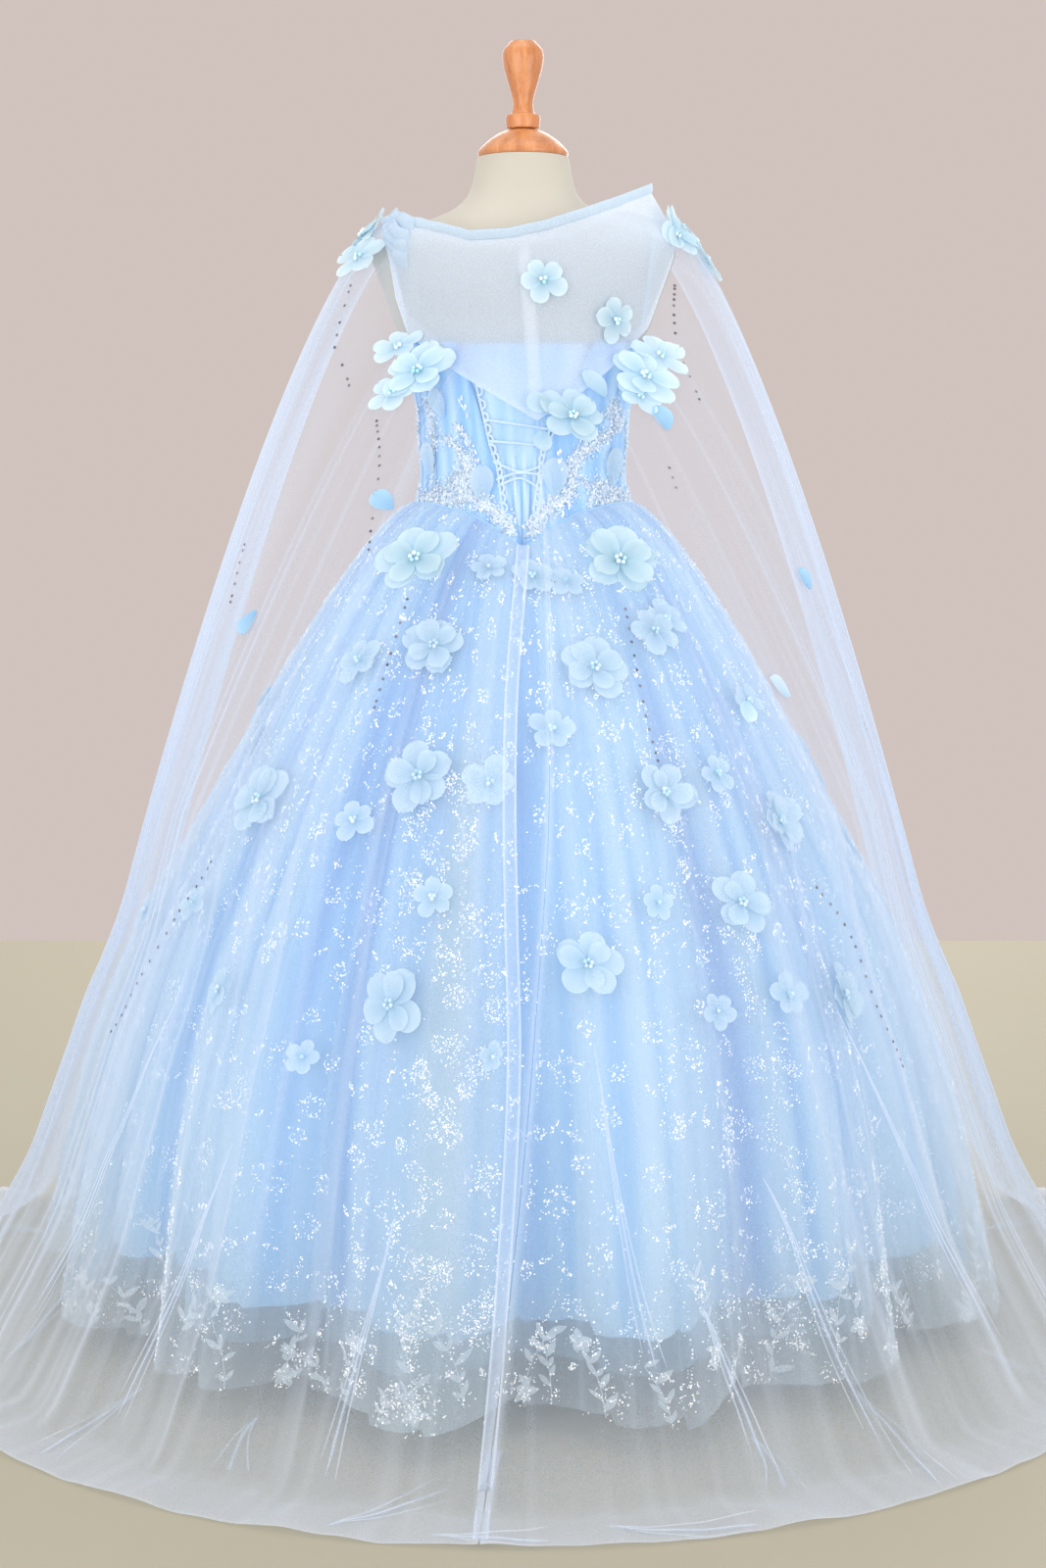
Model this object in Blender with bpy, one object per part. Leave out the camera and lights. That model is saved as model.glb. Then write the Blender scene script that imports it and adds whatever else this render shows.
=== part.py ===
# A ball gown with a floor-length cape on its limbless dress form, in metres.
# Z is up and the floor is Z = 0 under the pole. The gown's back faces -Y, and the wearer's
# left is -X. Angles are in degrees from the centre back, positive towards +X.

import math

import bmesh
import bpy
from mathutils import Vector

# Driving dimensions
CLOTH = 0.0015
BODICE_IN, BODICE_OUT = 0.0034, 0.0056
PANEL_IN, PANEL_OUT = 0.0010, 0.0022
SEAM = 0.0005
SKIRT_JOIN, SKIRT_FLARE = 0.70, 0.75
LINING_HEM, OVERLAY_HEM = 0.100, 0.030
WAIST_GAP, OVERLAY_GAP, HEM_GAP = 0.0049, 0.006, 0.050
WAIST_FALL = 0.04
FOLD_DEPTH, RIPPLE = 0.045, 0.009
CAPE_JOIN, CAPE_FRONT = 0.62, 112
CAPE_CLEAR = 0.014
CAPE_CLOTH = 0.001
SEAM_TOP, SEAM_FLOOR = 8, -3
TRAIN = 0.80
POLE_RADIUS, BASE_RADIUS = 0.016, 0.17

# The torso's sections: half width, and depth to the back and to the front
BODY = [
    {"height": 0.800, "width": 0.146, "back": 0.100, "front": 0.095},
    {"height": 0.860, "width": 0.158, "back": 0.118, "front": 0.105},
    {"height": 0.920, "width": 0.146, "back": 0.112, "front": 0.102},
    {"height": 0.965, "width": 0.130, "back": 0.098, "front": 0.096},
    {"height": 1.005, "width": 0.122, "back": 0.090, "front": 0.093},
    {"height": 1.050, "width": 0.124, "back": 0.094, "front": 0.100},
    {"height": 1.100, "width": 0.128, "back": 0.102, "front": 0.112},
    {"height": 1.150, "width": 0.141, "back": 0.108, "front": 0.124},
    {"height": 1.190, "width": 0.156, "back": 0.110, "front": 0.124},
    {"height": 1.230, "width": 0.170, "back": 0.108, "front": 0.108},
    {"height": 1.262, "width": 0.182, "back": 0.098, "front": 0.090},
    {"height": 1.283, "width": 0.185, "back": 0.084, "front": 0.074},
    {"height": 1.300, "width": 0.160, "back": 0.072, "front": 0.062},
    {"height": 1.315, "width": 0.122, "back": 0.064, "front": 0.058},
    {"height": 1.330, "width": 0.086, "back": 0.059, "front": 0.057},
    {"height": 1.350, "width": 0.066, "back": 0.056, "front": 0.056},
    {"height": 1.392, "width": 0.0555, "back": 0.0545, "front": 0.0545},
]

# Mean radius of the overlay below the join, before its folds
SKIRT = [
    {"height": 0.03, "radius": 0.575},
    {"height": 0.10, "radius": 0.562},
    {"height": 0.20, "radius": 0.545},
    {"height": 0.30, "radius": 0.523},
    {"height": 0.40, "radius": 0.490},
    {"height": 0.48, "radius": 0.455},
    {"height": 0.55, "radius": 0.417},
    {"height": 0.60, "radius": 0.390},
    {"height": 0.65, "radius": 0.363},
    {"height": 0.70, "radius": 0.335},
]

# Radius of the cape below its join
CAPE = [
    {"height": 0.00, "radius": 0.725},
    {"height": 0.02, "radius": 0.705},
    {"height": 0.06, "radius": 0.680},
    {"height": 0.11, "radius": 0.650},
    {"height": 0.17, "radius": 0.618},
    {"height": 0.24, "radius": 0.592},
    {"height": 0.30, "radius": 0.570},
    {"height": 0.37, "radius": 0.545},
    {"height": 0.42, "radius": 0.523},
    {"height": 0.48, "radius": 0.500},
    {"height": 0.55, "radius": 0.480},
    {"height": 0.62, "radius": 0.460},
]

# The cape's upper edge, where it is sewn to the yoke and lies over the shoulders
CAPE_TOP = [
    {"angle": -112, "radius": 0.160, "height": 1.304},
    {"angle": -102, "radius": 0.158, "height": 1.322},
    {"angle": -90, "radius": 0.160, "height": 1.324},
    {"angle": -78, "radius": 0.173, "height": 1.308},
    {"angle": -68, "radius": 0.173, "height": 1.262},
    {"angle": -66, "radius": 0.168, "height": 1.217},
    {"angle": -63, "radius": 0.156, "height": 1.176},
    {"angle": -48, "radius": 0.141, "height": 1.150},
    {"angle": -40, "radius": 0.132, "height": 1.133},
    {"angle": 8, "radius": 0.120, "height": 1.073},
    {"angle": 41, "radius": 0.132, "height": 1.118},
    {"angle": 50, "radius": 0.140, "height": 1.137},
    {"angle": 72, "radius": 0.161, "height": 1.187},
    {"angle": 80, "radius": 0.188, "height": 1.275},
    {"angle": 90, "radius": 0.176, "height": 1.325},
    {"angle": 100, "radius": 0.168, "height": 1.326},
    {"angle": 112, "radius": 0.160, "height": 1.304},
]

# The yoke's upper edge under the neck band
NECKLINE = [
    {"angle": -82, "radius": 0.153, "height": 1.320},
    {"angle": -61, "radius": 0.127, "height": 1.302},
    {"angle": -34, "radius": 0.107, "height": 1.285},
    {"angle": -10, "radius": 0.097, "height": 1.287},
    {"angle": 18, "radius": 0.097, "height": 1.298},
    {"angle": 45, "radius": 0.106, "height": 1.314},
    {"angle": 69, "radius": 0.126, "height": 1.332},
    {"angle": 85, "radius": 0.156, "height": 1.350},
]

# The bodice's lower edge, the same on both sides
BASQUE = [
    {"angle": 0, "height": 0.923},
    {"angle": 15, "height": 0.945},
    {"angle": 35, "height": 0.965},
    {"angle": 60, "height": 0.975},
    {"angle": 90, "height": 0.978},
    {"angle": 135, "height": 0.968},
    {"angle": 160, "height": 0.940},
    {"angle": 180, "height": 0.905},
]

# The bodice's upper edge, with a sweetheart front
NECK_EDGE = [
    {"angle": 0, "height": 1.164},
    {"angle": 60, "height": 1.168},
    {"angle": 90, "height": 1.172},
    {"angle": 125, "height": 1.192},
    {"angle": 150, "height": 1.205},
    {"angle": 168, "height": 1.192},
    {"angle": 180, "height": 1.165},
]

# The laced opening's edges, at shares of the bodice's height
OPENING = [
    {"share": 0.00, "left": -0.4, "right": 0.4},
    {"share": 0.09, "left": -3, "right": 3},
    {"share": 0.24, "left": -16, "right": 11},
    {"share": 0.36, "left": -18, "right": 13},
    {"share": 0.46, "left": -24, "right": 16},
    {"share": 0.57, "left": -27, "right": 25},
    {"share": 0.76, "left": -32, "right": 32},
    {"share": 1.00, "left": -38, "right": 41},
]

# Where the skirt's folds stand out, and how much of the full depth each has
SKIRT_FOLDS = [
    {"angle": -165, "size": 1.0},
    {"angle": -140, "size": 0.8},
    {"angle": -114, "size": 0.9},
    {"angle": -88, "size": 1.0},
    {"angle": -62, "size": 0.7},
    {"angle": -38, "size": 0.6},
    {"angle": -11, "size": 1.0},
    {"angle": 15, "size": 1.0},
    {"angle": 40, "size": 0.6},
    {"angle": 64, "size": 0.9},
    {"angle": 104, "size": 0.8},
    {"angle": 128, "size": 1.0},
    {"angle": 150, "size": 0.9},
    {"angle": 172, "size": 0.8},
]

# The cape's folds on its right; the left has them moved by a few degrees
CAPE_FOLDS = [
    {"angle": 7, "size": 0.8},
    {"angle": 20, "size": 1.0},
    {"angle": 33, "size": 0.7},
    {"angle": 47, "size": 1.0},
    {"angle": 60, "size": 0.6},
    {"angle": 73, "size": 1.0},
    {"angle": 88, "size": 0.7},
    {"angle": 101, "size": 0.9},
]

# Flowers: the layer each is sewn to, its place, its radius and its turn
FLOWERS = [
    {"on": "cape", "angle": -84, "height": 1.296, "radius": 0.036, "turn": 10},
    {"on": "cape", "angle": 92, "height": 1.270, "radius": 0.033, "turn": 50},
    {"on": "cape", "angle": -50, "height": 1.130, "radius": 0.040, "turn": 20},
    {"on": "cape", "angle": 57, "height": 1.124, "radius": 0.040, "turn": 65},
    {"on": "cape", "angle": 25, "height": 1.076, "radius": 0.036, "turn": 0},
    {"on": "cape", "angle": -27, "height": 0.913, "radius": 0.044, "turn": 35},
    {"on": "cape", "angle": 25, "height": 0.910, "radius": 0.045, "turn": 5},
    {"on": "skirt", "angle": -43, "height": 0.795, "radius": 0.030, "turn": 50},
    {"on": "skirt", "angle": -23, "height": 0.813, "radius": 0.038, "turn": 15},
    {"on": "skirt", "angle": 17, "height": 0.790, "radius": 0.040, "turn": 70},
    {"on": "skirt", "angle": 37, "height": 0.828, "radius": 0.032, "turn": 25},
    {"on": "skirt", "angle": -55, "height": 0.633, "radius": 0.043, "turn": 40},
    {"on": "skirt", "angle": -19, "height": 0.675, "radius": 0.042, "turn": 40},
    {"on": "skirt", "angle": -6, "height": 0.672, "radius": 0.030, "turn": 5},
    {"on": "skirt", "angle": 26, "height": 0.655, "radius": 0.034, "turn": 55},
    {"on": "skirt", "angle": 51, "height": 0.610, "radius": 0.038, "turn": 30},
    {"on": "skirt", "angle": -17, "height": 0.445, "radius": 0.042, "turn": 60},
    {"on": "skirt", "angle": 9, "height": 0.488, "radius": 0.036, "turn": 12},
    {"on": "skirt", "angle": 34, "height": 0.537, "radius": 0.034, "turn": 66},
    {"on": "skirt", "angle": -45, "height": 0.435, "radius": 0.030, "turn": 66},
    {"on": "skirt", "angle": 50, "height": 0.420, "radius": 0.038, "turn": 22},
    {"on": "skirt", "angle": 4, "height": 0.890, "radius": 0.026, "turn": 25},
    {"on": "skirt", "angle": -98, "height": 0.720, "radius": 0.040, "turn": 18},
    {"on": "skirt", "angle": 104, "height": 0.640, "radius": 0.042, "turn": 48},
    {"on": "skirt", "angle": -140, "height": 0.800, "radius": 0.042, "turn": 30},
    {"on": "skirt", "angle": 150, "height": 0.790, "radius": 0.045, "turn": 8},
    {"on": "skirt", "angle": 178, "height": 0.690, "radius": 0.048, "turn": 52},
    {"on": "skirt", "angle": -158, "height": 0.560, "radius": 0.050, "turn": 17},
    {"on": "skirt", "angle": 138, "height": 0.500, "radius": 0.048, "turn": 44},
    {"on": "skirt", "angle": -135, "height": 0.380, "radius": 0.045, "turn": 3},
    {"on": "skirt", "angle": 166, "height": 0.340, "radius": 0.050, "turn": 25},
    {"on": "bodice", "angle": -138, "height": 1.145, "radius": 0.034, "turn": 12},
    {"on": "bodice", "angle": 136, "height": 1.120, "radius": 0.034, "turn": 60},
    {"on": "yoke", "angle": 14, "height": 1.236, "radius": 0.028, "turn": 40},
]

CAP = [
    {"height": 1.3925, "radius": 0.0540},
    {"height": 1.3980, "radius": 0.0550},
    {"height": 1.4060, "radius": 0.0490},
    {"height": 1.4160, "radius": 0.0370},
    {"height": 1.4230, "radius": 0.0240},
    {"height": 1.4260, "radius": 0.0120},
]
FINIAL = [
    {"height": 1.4263, "radius": 0.0200},
    {"height": 1.4420, "radius": 0.0205},
    {"height": 1.4440, "radius": 0.0150},
    {"height": 1.4570, "radius": 0.0122},
    {"height": 1.4750, "radius": 0.0165},
    {"height": 1.5000, "radius": 0.0235},
    {"height": 1.5180, "radius": 0.0240},
    {"height": 1.5290, "radius": 0.0150},
]
BASE = [
    {"height": 0.000, "radius": 0.170},
    {"height": 0.012, "radius": 0.170},
    {"height": 0.022, "radius": 0.155},
    {"height": 0.030, "radius": 0.060},
    {"height": 0.050, "radius": 0.030},
]

COLOURS = {
    "satin": (0.46, 0.69, 0.93),
    "tulle": (0.55, 0.75, 0.93),
    "sheer": (0.68, 0.74, 0.88),
    "organza": (0.56, 0.81, 0.92),
    "cream": (0.79, 0.75, 0.64),
    "wood": (0.69, 0.32, 0.15),
    "steel": (0.55, 0.55, 0.56),
}


def read(table, column, value, key="height"):
    # Straight lines between the rows of a table
    if value <= table[0][key]:
        return table[0][column]
    for low, high in zip(table, table[1:]):
        if value <= high[key]:
            share = (value - low[key]) / (high[key] - low[key])
            return low[column] + (high[column] - low[column]) * share
    return table[-1][column]


def smooth(table, column, value):
    # A smooth curve through the rows of a table by height
    count = len(table)
    for i in range(count - 1):
        low, high = table[i], table[i + 1]
        if value <= high["height"] or i == count - 2:
            break
    span = high["height"] - low["height"]
    share = min(max((value - low["height"]) / span, 0), 1)
    before, after = table[max(i - 1, 0)], table[min(i + 2, count - 1)]
    leave = (high[column] - before[column]) / (high["height"] - before["height"]) * span
    arrive = (after[column] - low[column]) / (after["height"] - low["height"]) * span
    ends = low[column] * (2 * share**3 - 3 * share**2 + 1)
    ends += high[column] * (3 * share**2 - 2 * share**3)
    slopes = leave * (share**3 - 2 * share**2 + share) + arrive * (share**3 - share**2)
    return ends + slopes


def place(angle, radius, height):
    turn = math.radians(angle)
    return Vector((radius * math.sin(turn), -radius * math.cos(turn), height))


def wrap(angle):
    return (angle + 180) % 360 - 180


def body_radius(angle, height, out=0.0):
    side = "back" if abs(wrap(angle)) < 90 else "front"
    width = smooth(BODY, "width", height) + out
    depth = smooth(BODY, side, height) + out
    turn = math.radians(angle)
    return width * depth / math.hypot(depth * math.sin(turn), width * math.cos(turn))


def fold(table, angle):
    # 1 on each fold's ridge and -1 in the valleys, times the folds' sizes, and the share between
    turn = (angle - table[0]["angle"]) % 360
    angles = [(row["angle"] - table[0]["angle"]) % 360 for row in table] + [360]
    sizes = [row["size"] for row in table] + [table[0]["size"]]
    for low, high, here, after in zip(angles, angles[1:], sizes, sizes[1:]):
        if turn <= high:
            share = (turn - low) / (high - low)
            return math.cos(2 * math.pi * share) * (here + (after - here) * share), share
    return 0.0, 0.0


def overlay_radius(angle, height, inner=0.0):
    # inner is 0 for the overlay and 1 for the lining below it
    top = read(BASQUE, "height", abs(wrap(angle)), "angle")
    start = body_radius(angle, top, BODICE_OUT + WAIST_GAP)
    fall = min(max((top - height) / (top - OVERLAY_HEM), 0), 1)
    if height > SKIRT_JOIN:
        share = min(max((top - height) / (top - SKIRT_JOIN), 0), 1)
        mean = start + (SKIRT[-1]["radius"] - start) * share**SKIRT_FLARE
    else:
        mean = read(SKIRT, "radius", height)
    wave, share = fold(SKIRT_FOLDS, angle)
    loose = min((top - height) / WAIST_FALL, 1)
    drop = WAIST_GAP + (OVERLAY_GAP - WAIST_GAP) * max(loose, 0)
    drop += (HEM_GAP - OVERLAY_GAP) * fall**1.3
    ripple = RIPPLE * fall * (0.5 - 0.5 * math.cos(4 * math.pi * share))
    return mean + FOLD_DEPTH * wave * fall**1.6 + ripple * (1 - inner) - drop * inner


def cape_radius(angle, height):
    angle = wrap(angle)
    top = read(CAPE_TOP, "height", angle, "angle")
    start = read(CAPE_TOP, "radius", angle, "angle")
    if height > CAPE_JOIN:
        share = min(max((top - height) / (top - CAPE_JOIN), 0), 1)
        straight = 1 - 0.3 * min(abs(angle) / 80, 1) ** 2
        mean = start + (CAPE[-1]["radius"] - start) * share**straight
    else:
        mean = read(CAPE, "radius", height)
    fall = min(max((top - height) / top, 0), 1)
    wave = fold(CAPE_FOLDS, abs(angle) + (3 if angle < 0 else 0))[0]
    mean += 0.010 * fall * wave
    if height > OVERLAY_HEM and height < 0.9:
        mean = max(mean, overlay_radius(angle, height) + CAPE_CLEAR)
    return mean


def material(name):
    if name in bpy.data.materials:
        return bpy.data.materials[name]
    made = bpy.data.materials.new(name)
    made.use_nodes = True
    shader = made.node_tree.nodes["Principled BSDF"]
    shader.inputs["Base Color"].default_value = (*COLOURS[name], 1)
    shader.inputs["Roughness"].default_value = 0.6
    return made


def solid(name, points, faces, colour, smooth=True):
    mesh = bpy.data.meshes.new(name)
    mesh.from_pydata([tuple(p) for p in points], [], faces)
    shape = bmesh.new()
    shape.from_mesh(mesh)
    bmesh.ops.recalc_face_normals(shape, faces=shape.faces)
    shape.to_mesh(mesh)
    shape.free()
    for face in mesh.polygons:
        face.use_smooth = smooth
    piece = bpy.data.objects.new(name, mesh)
    piece.data.materials.append(material(colour))
    bpy.context.scene.collection.objects.link(piece)
    return piece


def normals(grid, closed):
    rows, columns = len(grid), len(grid[0])
    found = []
    for i in range(rows):
        line = []
        for j in range(columns):
            left = grid[i][(j - 1) % columns if closed else max(j - 1, 0)]
            right = grid[i][(j + 1) % columns if closed else min(j + 1, columns - 1)]
            below = grid[max(i - 1, 0)][j]
            above = grid[min(i + 1, rows - 1)][j]
            line.append((right - left).cross(above - below).normalized())
        found.append(line)
    return found


def wall(name, grid, thickness, colour, closed=False):
    # A closed wall from its outer face, whose rows run upwards and columns towards +angle
    across = normals(grid, closed)
    rows, columns = len(grid), len(grid[0])
    points = [p for line in grid for p in line]
    points += [
        p - n * thickness for line, side in zip(grid, across) for p, n in zip(line, side)
    ]
    inner = rows * columns
    faces = []
    steps = columns if closed else columns - 1
    for i in range(rows - 1):
        for j in range(steps):
            k = (j + 1) % columns
            a, b = i * columns + j, i * columns + k
            c, d = (i + 1) * columns + k, (i + 1) * columns + j
            # Both faces are cut along the same diagonal, so that the wall stays even
            if (points[a] - points[c]).length < (points[b] - points[d]).length:
                halves = [(a, b, c), (a, c, d)]
            else:
                halves = [(a, b, d), (b, c, d)]
            faces += halves + [tuple(inner + v for v in reversed(half)) for half in halves]
    for i, flip in ((0, False), (rows - 1, True)):
        for j in range(steps):
            a, b = i * columns + j, i * columns + (j + 1) % columns
            faces.append((a, b, inner + b, inner + a) if flip else (b, a, inner + a, inner + b))
    if not closed:
        for j, flip in ((0, False), (columns - 1, True)):
            for i in range(rows - 1):
                a, b = i * columns + j, (i + 1) * columns + j
                faces.append(
                    (b, a, inner + a, inner + b) if flip else (a, b, inner + b, inner + a)
                )
    return solid(name, points, faces, colour)


def turned(name, profile, colour, sides=32, start=0.0):
    # A closed round solid from its profile
    rings = [(row["height"], row["radius"]) for row in profile]
    points = [place(360 * j / sides, r, h) for h, r in rings for j in range(sides)]
    faces = [tuple(reversed(range(sides)))]
    for i in range(len(rings) - 1):
        for j in range(sides):
            k = (j + 1) % sides
            faces.append(
                (i * sides + j, i * sides + k, (i + 1) * sides + k, (i + 1) * sides + j)
            )
    faces.append(tuple(range((len(rings) - 1) * sides, len(rings) * sides)))
    return solid(name, points, faces, colour)


def ribbon(name, path, outward, width, thickness, colour):
    # A flat strip along a path, lying with its face towards outward
    points, faces = [], []
    for i, (p, out) in enumerate(zip(path, outward)):
        along = path[min(i + 1, len(path) - 1)] - path[max(i - 1, 0)]
        side = along.cross(out).normalized() * (width / 2)
        up = out.normalized() * (thickness / 2)
        points += [p - side - up, p + side - up, p + side + up, p - side + up]
    for i in range(len(path) - 1):
        for j in range(4):
            a, b = 4 * i + j, 4 * i + (j + 1) % 4
            faces.append((a, b, b + 4, a + 4))
    last = 4 * (len(path) - 1)
    faces += [(3, 2, 1, 0), (last, last + 1, last + 2, last + 3)]
    return solid(name, points, faces, colour)


def body_point(angle, height, out):
    # Above the shoulders the cloth is moved up as well as out
    low = height - out * min(max((height - 1.23) / 0.06, 0), 1)
    return place(angle, body_radius(angle, low, out), height)


def body_normal(angle, height, out):
    across = body_point(angle + 1, height, out) - body_point(angle - 1, height, out)
    upward = body_point(angle, height + 0.002, out) - body_point(angle, height - 0.002, out)
    return across.cross(upward).normalized()


def build_form():
    sides = 40
    heights = [row["height"] for row in BODY]
    middles = [(low + high) / 2 for low, high in zip(heights, heights[1:])]
    heights = sorted(heights + [h for h in middles if 0.9 < h < 1.2])
    points = [
        place(360 * j / sides, body_radius(360 * j / sides, h), h)
        for h in heights
        for j in range(sides)
    ]
    faces = [tuple(reversed(range(sides)))]
    for i in range(len(heights) - 1):
        for j in range(sides):
            k = (j + 1) % sides
            faces.append(
                (i * sides + j, i * sides + k, (i + 1) * sides + k, (i + 1) * sides + j)
            )
    faces.append(tuple(range((len(heights) - 1) * sides, len(heights) * sides)))
    solid("form_torso", points, faces, "cream")
    turned("neck_cap", CAP, "wood", sides=24)
    turned("finial", FINIAL, "wood", sides=20)
    turned("stand_base", BASE, "steel", sides=24)
    top = BODY[0]["height"] - SEAM
    low = BASE[-1]["height"] + SEAM
    pole = [{"height": low, "radius": POLE_RADIUS}, {"height": top, "radius": POLE_RADIUS}]
    turned("stand_pole", pole, "steel", sides=16)


def bodice_panel(name, left, right, columns, rows=7):
    # left and right give each edge's angle at a share of the bodice's height
    grid = []
    for i in range(rows + 1):
        share = i / rows
        line = []
        for j in range(columns + 1):
            angle = left(share) + (right(share) - left(share)) * j / columns
            low = read(BASQUE, "height", abs(wrap(angle)), "angle")
            high = read(NECK_EDGE, "height", abs(wrap(angle)), "angle")
            height = low + (high - low) * share
            line.append(place(angle, body_radius(angle, height, BODICE_OUT), height))
        grid.append(line)
    wall(name, grid, BODICE_OUT - BODICE_IN, "satin")


def build_bodice():
    half = 0.15

    def edge(angle):
        return lambda share: angle

    def opening(side):
        return lambda share: read(OPENING, side, share, "share")

    bodice_panel("bodice_back_left", edge(-62 + half), opening("left"), 6, rows=8)
    bodice_panel("bodice_back_right", opening("right"), edge(62 - half), 6, rows=8)
    bodice_panel("bodice_side_left", edge(-100 + half), edge(-62 - half), 5)
    bodice_panel("bodice_side_right", edge(62 + half), edge(100 - half), 5)
    bodice_panel("bodice_front_side_left", edge(-150 + half), edge(-100 - half), 6)
    bodice_panel("bodice_front_side_right", edge(100 + half), edge(150 - half), 6)
    bodice_panel("bodice_front", edge(150 + half), edge(210 - half), 8)


def build_modesty_panel():
    grid = []
    rows = 8
    for i in range(rows + 1):
        height = 0.955 + (1.164 - 0.955) * i / rows
        grid.append(
            [
                place(angle, body_radius(angle, height, PANEL_OUT), height)
                for angle in range(-45, 46, 9)
            ]
        )
    wall("modesty_panel", grid, PANEL_OUT - PANEL_IN, "satin")


def build_lacing():
    # One cord from side to side over the modesty panel, turning on the panels' edges
    path, outward = [], []
    out = BODICE_OUT + 0.0024
    low, high = BASQUE[0]["height"], NECK_EDGE[0]["height"]
    turns = []
    for i in range(6):
        share, side = 0.58 - 0.06 * i, "left" if i % 2 else "right"
        for here in (share, share - 0.03):
            turns.append({"share": here, "angle": read(OPENING, side, here, "share") * 1.1})
    for start, end in zip(turns, turns[1:]):
        steps = max(1, round(abs(end["angle"] - start["angle"]) / 7))
        for k in range(steps):
            share = start["share"] + (end["share"] - start["share"]) * k / steps
            angle = start["angle"] + (end["angle"] - start["angle"]) * k / steps
            height = low + 0.012 + (high - low - 0.012) * share
            path.append(place(angle, body_radius(angle, height, out), height))
            outward.append(body_normal(angle, height, out))
    ribbon("lacing", path, outward, 0.003, 0.0022, "satin")


STRAP = [
    {"angle": 70, "height": 1.180},
    {"angle": 69, "height": 1.215},
    {"angle": 69, "height": 1.250},
    {"angle": 72, "height": 1.280},
    {"angle": 80, "height": 1.298},
    {"angle": 90, "height": 1.306},
    {"angle": 100, "height": 1.300},
    {"angle": 110, "height": 1.285},
    {"angle": 119, "height": 1.255},
    {"angle": 124, "height": 1.225},
    {"angle": 128, "height": 1.203},
]


def build_straps():
    for name, side in (("strap_left", -1), ("strap_right", 1)):
        out = 0.0022
        path = [body_point(side * row["angle"], row["height"], out) for row in STRAP]
        outward = [body_normal(side * row["angle"], row["height"], out) for row in STRAP]
        ribbon(name, path, outward, 0.007, 0.0015, "satin")


def build_skirt_layer(name, inner, hem, per_fold, rows):
    angles = []
    turns = [row["angle"] for row in SKIRT_FOLDS] + [SKIRT_FOLDS[0]["angle"] + 360]
    for low, high in zip(turns, turns[1:]):
        angles += [low + (high - low) * k / per_fold for k in range(per_fold)]
    grid = []
    for i in range(rows + 1):
        share = (1 - i / rows) ** 1.35
        line = []
        for angle in angles:
            top = read(BASQUE, "height", abs(wrap(angle)), "angle") - SEAM
            height = top + (hem - top) * share
            line.append(place(angle, overlay_radius(angle, height, inner), height))
        grid.append(line)
    wall(name, grid, CLOTH, "satin" if inner else "tulle", closed=True)


def yoke_point(across, down):
    # across runs over the back from the left shoulder, and down from neckline to cape
    first, last = NECKLINE[0]["angle"], NECKLINE[-1]["angle"]
    angle = first + (last - first) * across
    low_angle = -78 + (88 + 78) * across
    top = place(
        angle, read(NECKLINE, "radius", angle, "angle"), read(NECKLINE, "height", angle, "angle")
    )
    low = place(
        low_angle,
        read(CAPE_TOP, "radius", low_angle, "angle") - 0.0017,
        read(CAPE_TOP, "height", low_angle, "angle"),
    )
    here = top + (low - top) * down
    angle = math.degrees(math.atan2(here.x, -here.y))
    radius = math.hypot(here.x, here.y)
    clear = BODICE_OUT + 0.004 if here.z < 1.19 else 0.0073
    slope = 0.004 + 0.012 * min(max((here.z - 1.24) / 0.04, 0), 1)
    radius = max(radius, body_radius(angle, here.z - slope, clear))
    return place(angle, radius, here.z)


def build_yoke():
    columns, rows = 20, 6
    shares = [j / columns for j in range(columns + 1)]
    grid = [[yoke_point(share, 1 - i / rows) for share in shares] for i in range(rows + 1)]
    wall("yoke", grid, CAPE_CLOTH, "sheer")
    path, outward = [], []
    for share in shares:
        point = yoke_point(share, 0)
        path.append(point + Vector((0, 0, 0.0068)))
        outward.append(Vector((point.x, point.y * 1.5, 0.05)))
    ribbon("neck_band", path, outward, 0.012, 0.0022, "sheer")


CAPE_ROWS = [
    {"share": 0.00, "floor": 0.82},
    {"share": 0.00, "floor": 0.40},
    {"share": 0.02, "floor": 0.0},
    {"share": 0.10, "floor": 0.0},
    {"share": 0.22, "floor": 0.0},
    {"share": 0.36, "floor": 0.0},
    {"share": 0.50, "floor": 0.0},
    {"share": 0.65, "floor": 0.0},
    {"share": 0.80, "floor": 0.0},
    {"share": 0.92, "floor": 0.0},
    {"share": 0.975, "floor": 0.0},
    {"share": 1.00, "floor": 0.0},
]


def cape_point(side, across, row):
    # The cape's point at a share of the way from the back seam to the front edge
    share = row["share"]
    seam = SEAM_FLOOR + (SEAM_TOP - SEAM_FLOOR) * share
    angle = seam + side * 0.06 + (side * (CAPE_FRONT - 0.5) - seam) * across
    if row["floor"] > 0:
        wave = fold(CAPE_FOLDS, abs(angle) + (3 if side < 0 else 0))[0]
        start = cape_radius(angle, 0.0)
        radius = start + (TRAIN - start) * row["floor"] / 0.82
        height = CAPE_CLOTH + 0.004 * max(wave, 0) * row["floor"]
        return place(angle, radius, height)
    top = read(CAPE_TOP, "height", angle, "angle")
    height = 0.012 + (top - 0.012) * share
    return place(angle, cape_radius(angle, height), height)


def build_cape():
    columns = 32
    for name, side in (("cape_left", -1), ("cape_right", 1)):
        order = range(columns + 1) if side > 0 else range(columns, -1, -1)
        grid = [[cape_point(side, j / columns, row) for j in order] for row in CAPE_ROWS]
        wall(name, grid, CAPE_CLOTH, "sheer")


def surface(layer, angle, height):
    if layer == "cape":
        return place(angle, cape_radius(angle, height), height)
    if layer == "skirt":
        return place(angle, overlay_radius(angle, height), height)
    if layer == "yoke":
        across = (angle + 78) / 166
        edge = read(NECKLINE, "height", -82 + 167 * across, "angle")
        seam = read(CAPE_TOP, "height", -78 + 166 * across, "angle")
        return yoke_point(across, (edge - height) / (edge - seam))
    return place(angle, body_radius(angle, height, BODICE_OUT), height)


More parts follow.
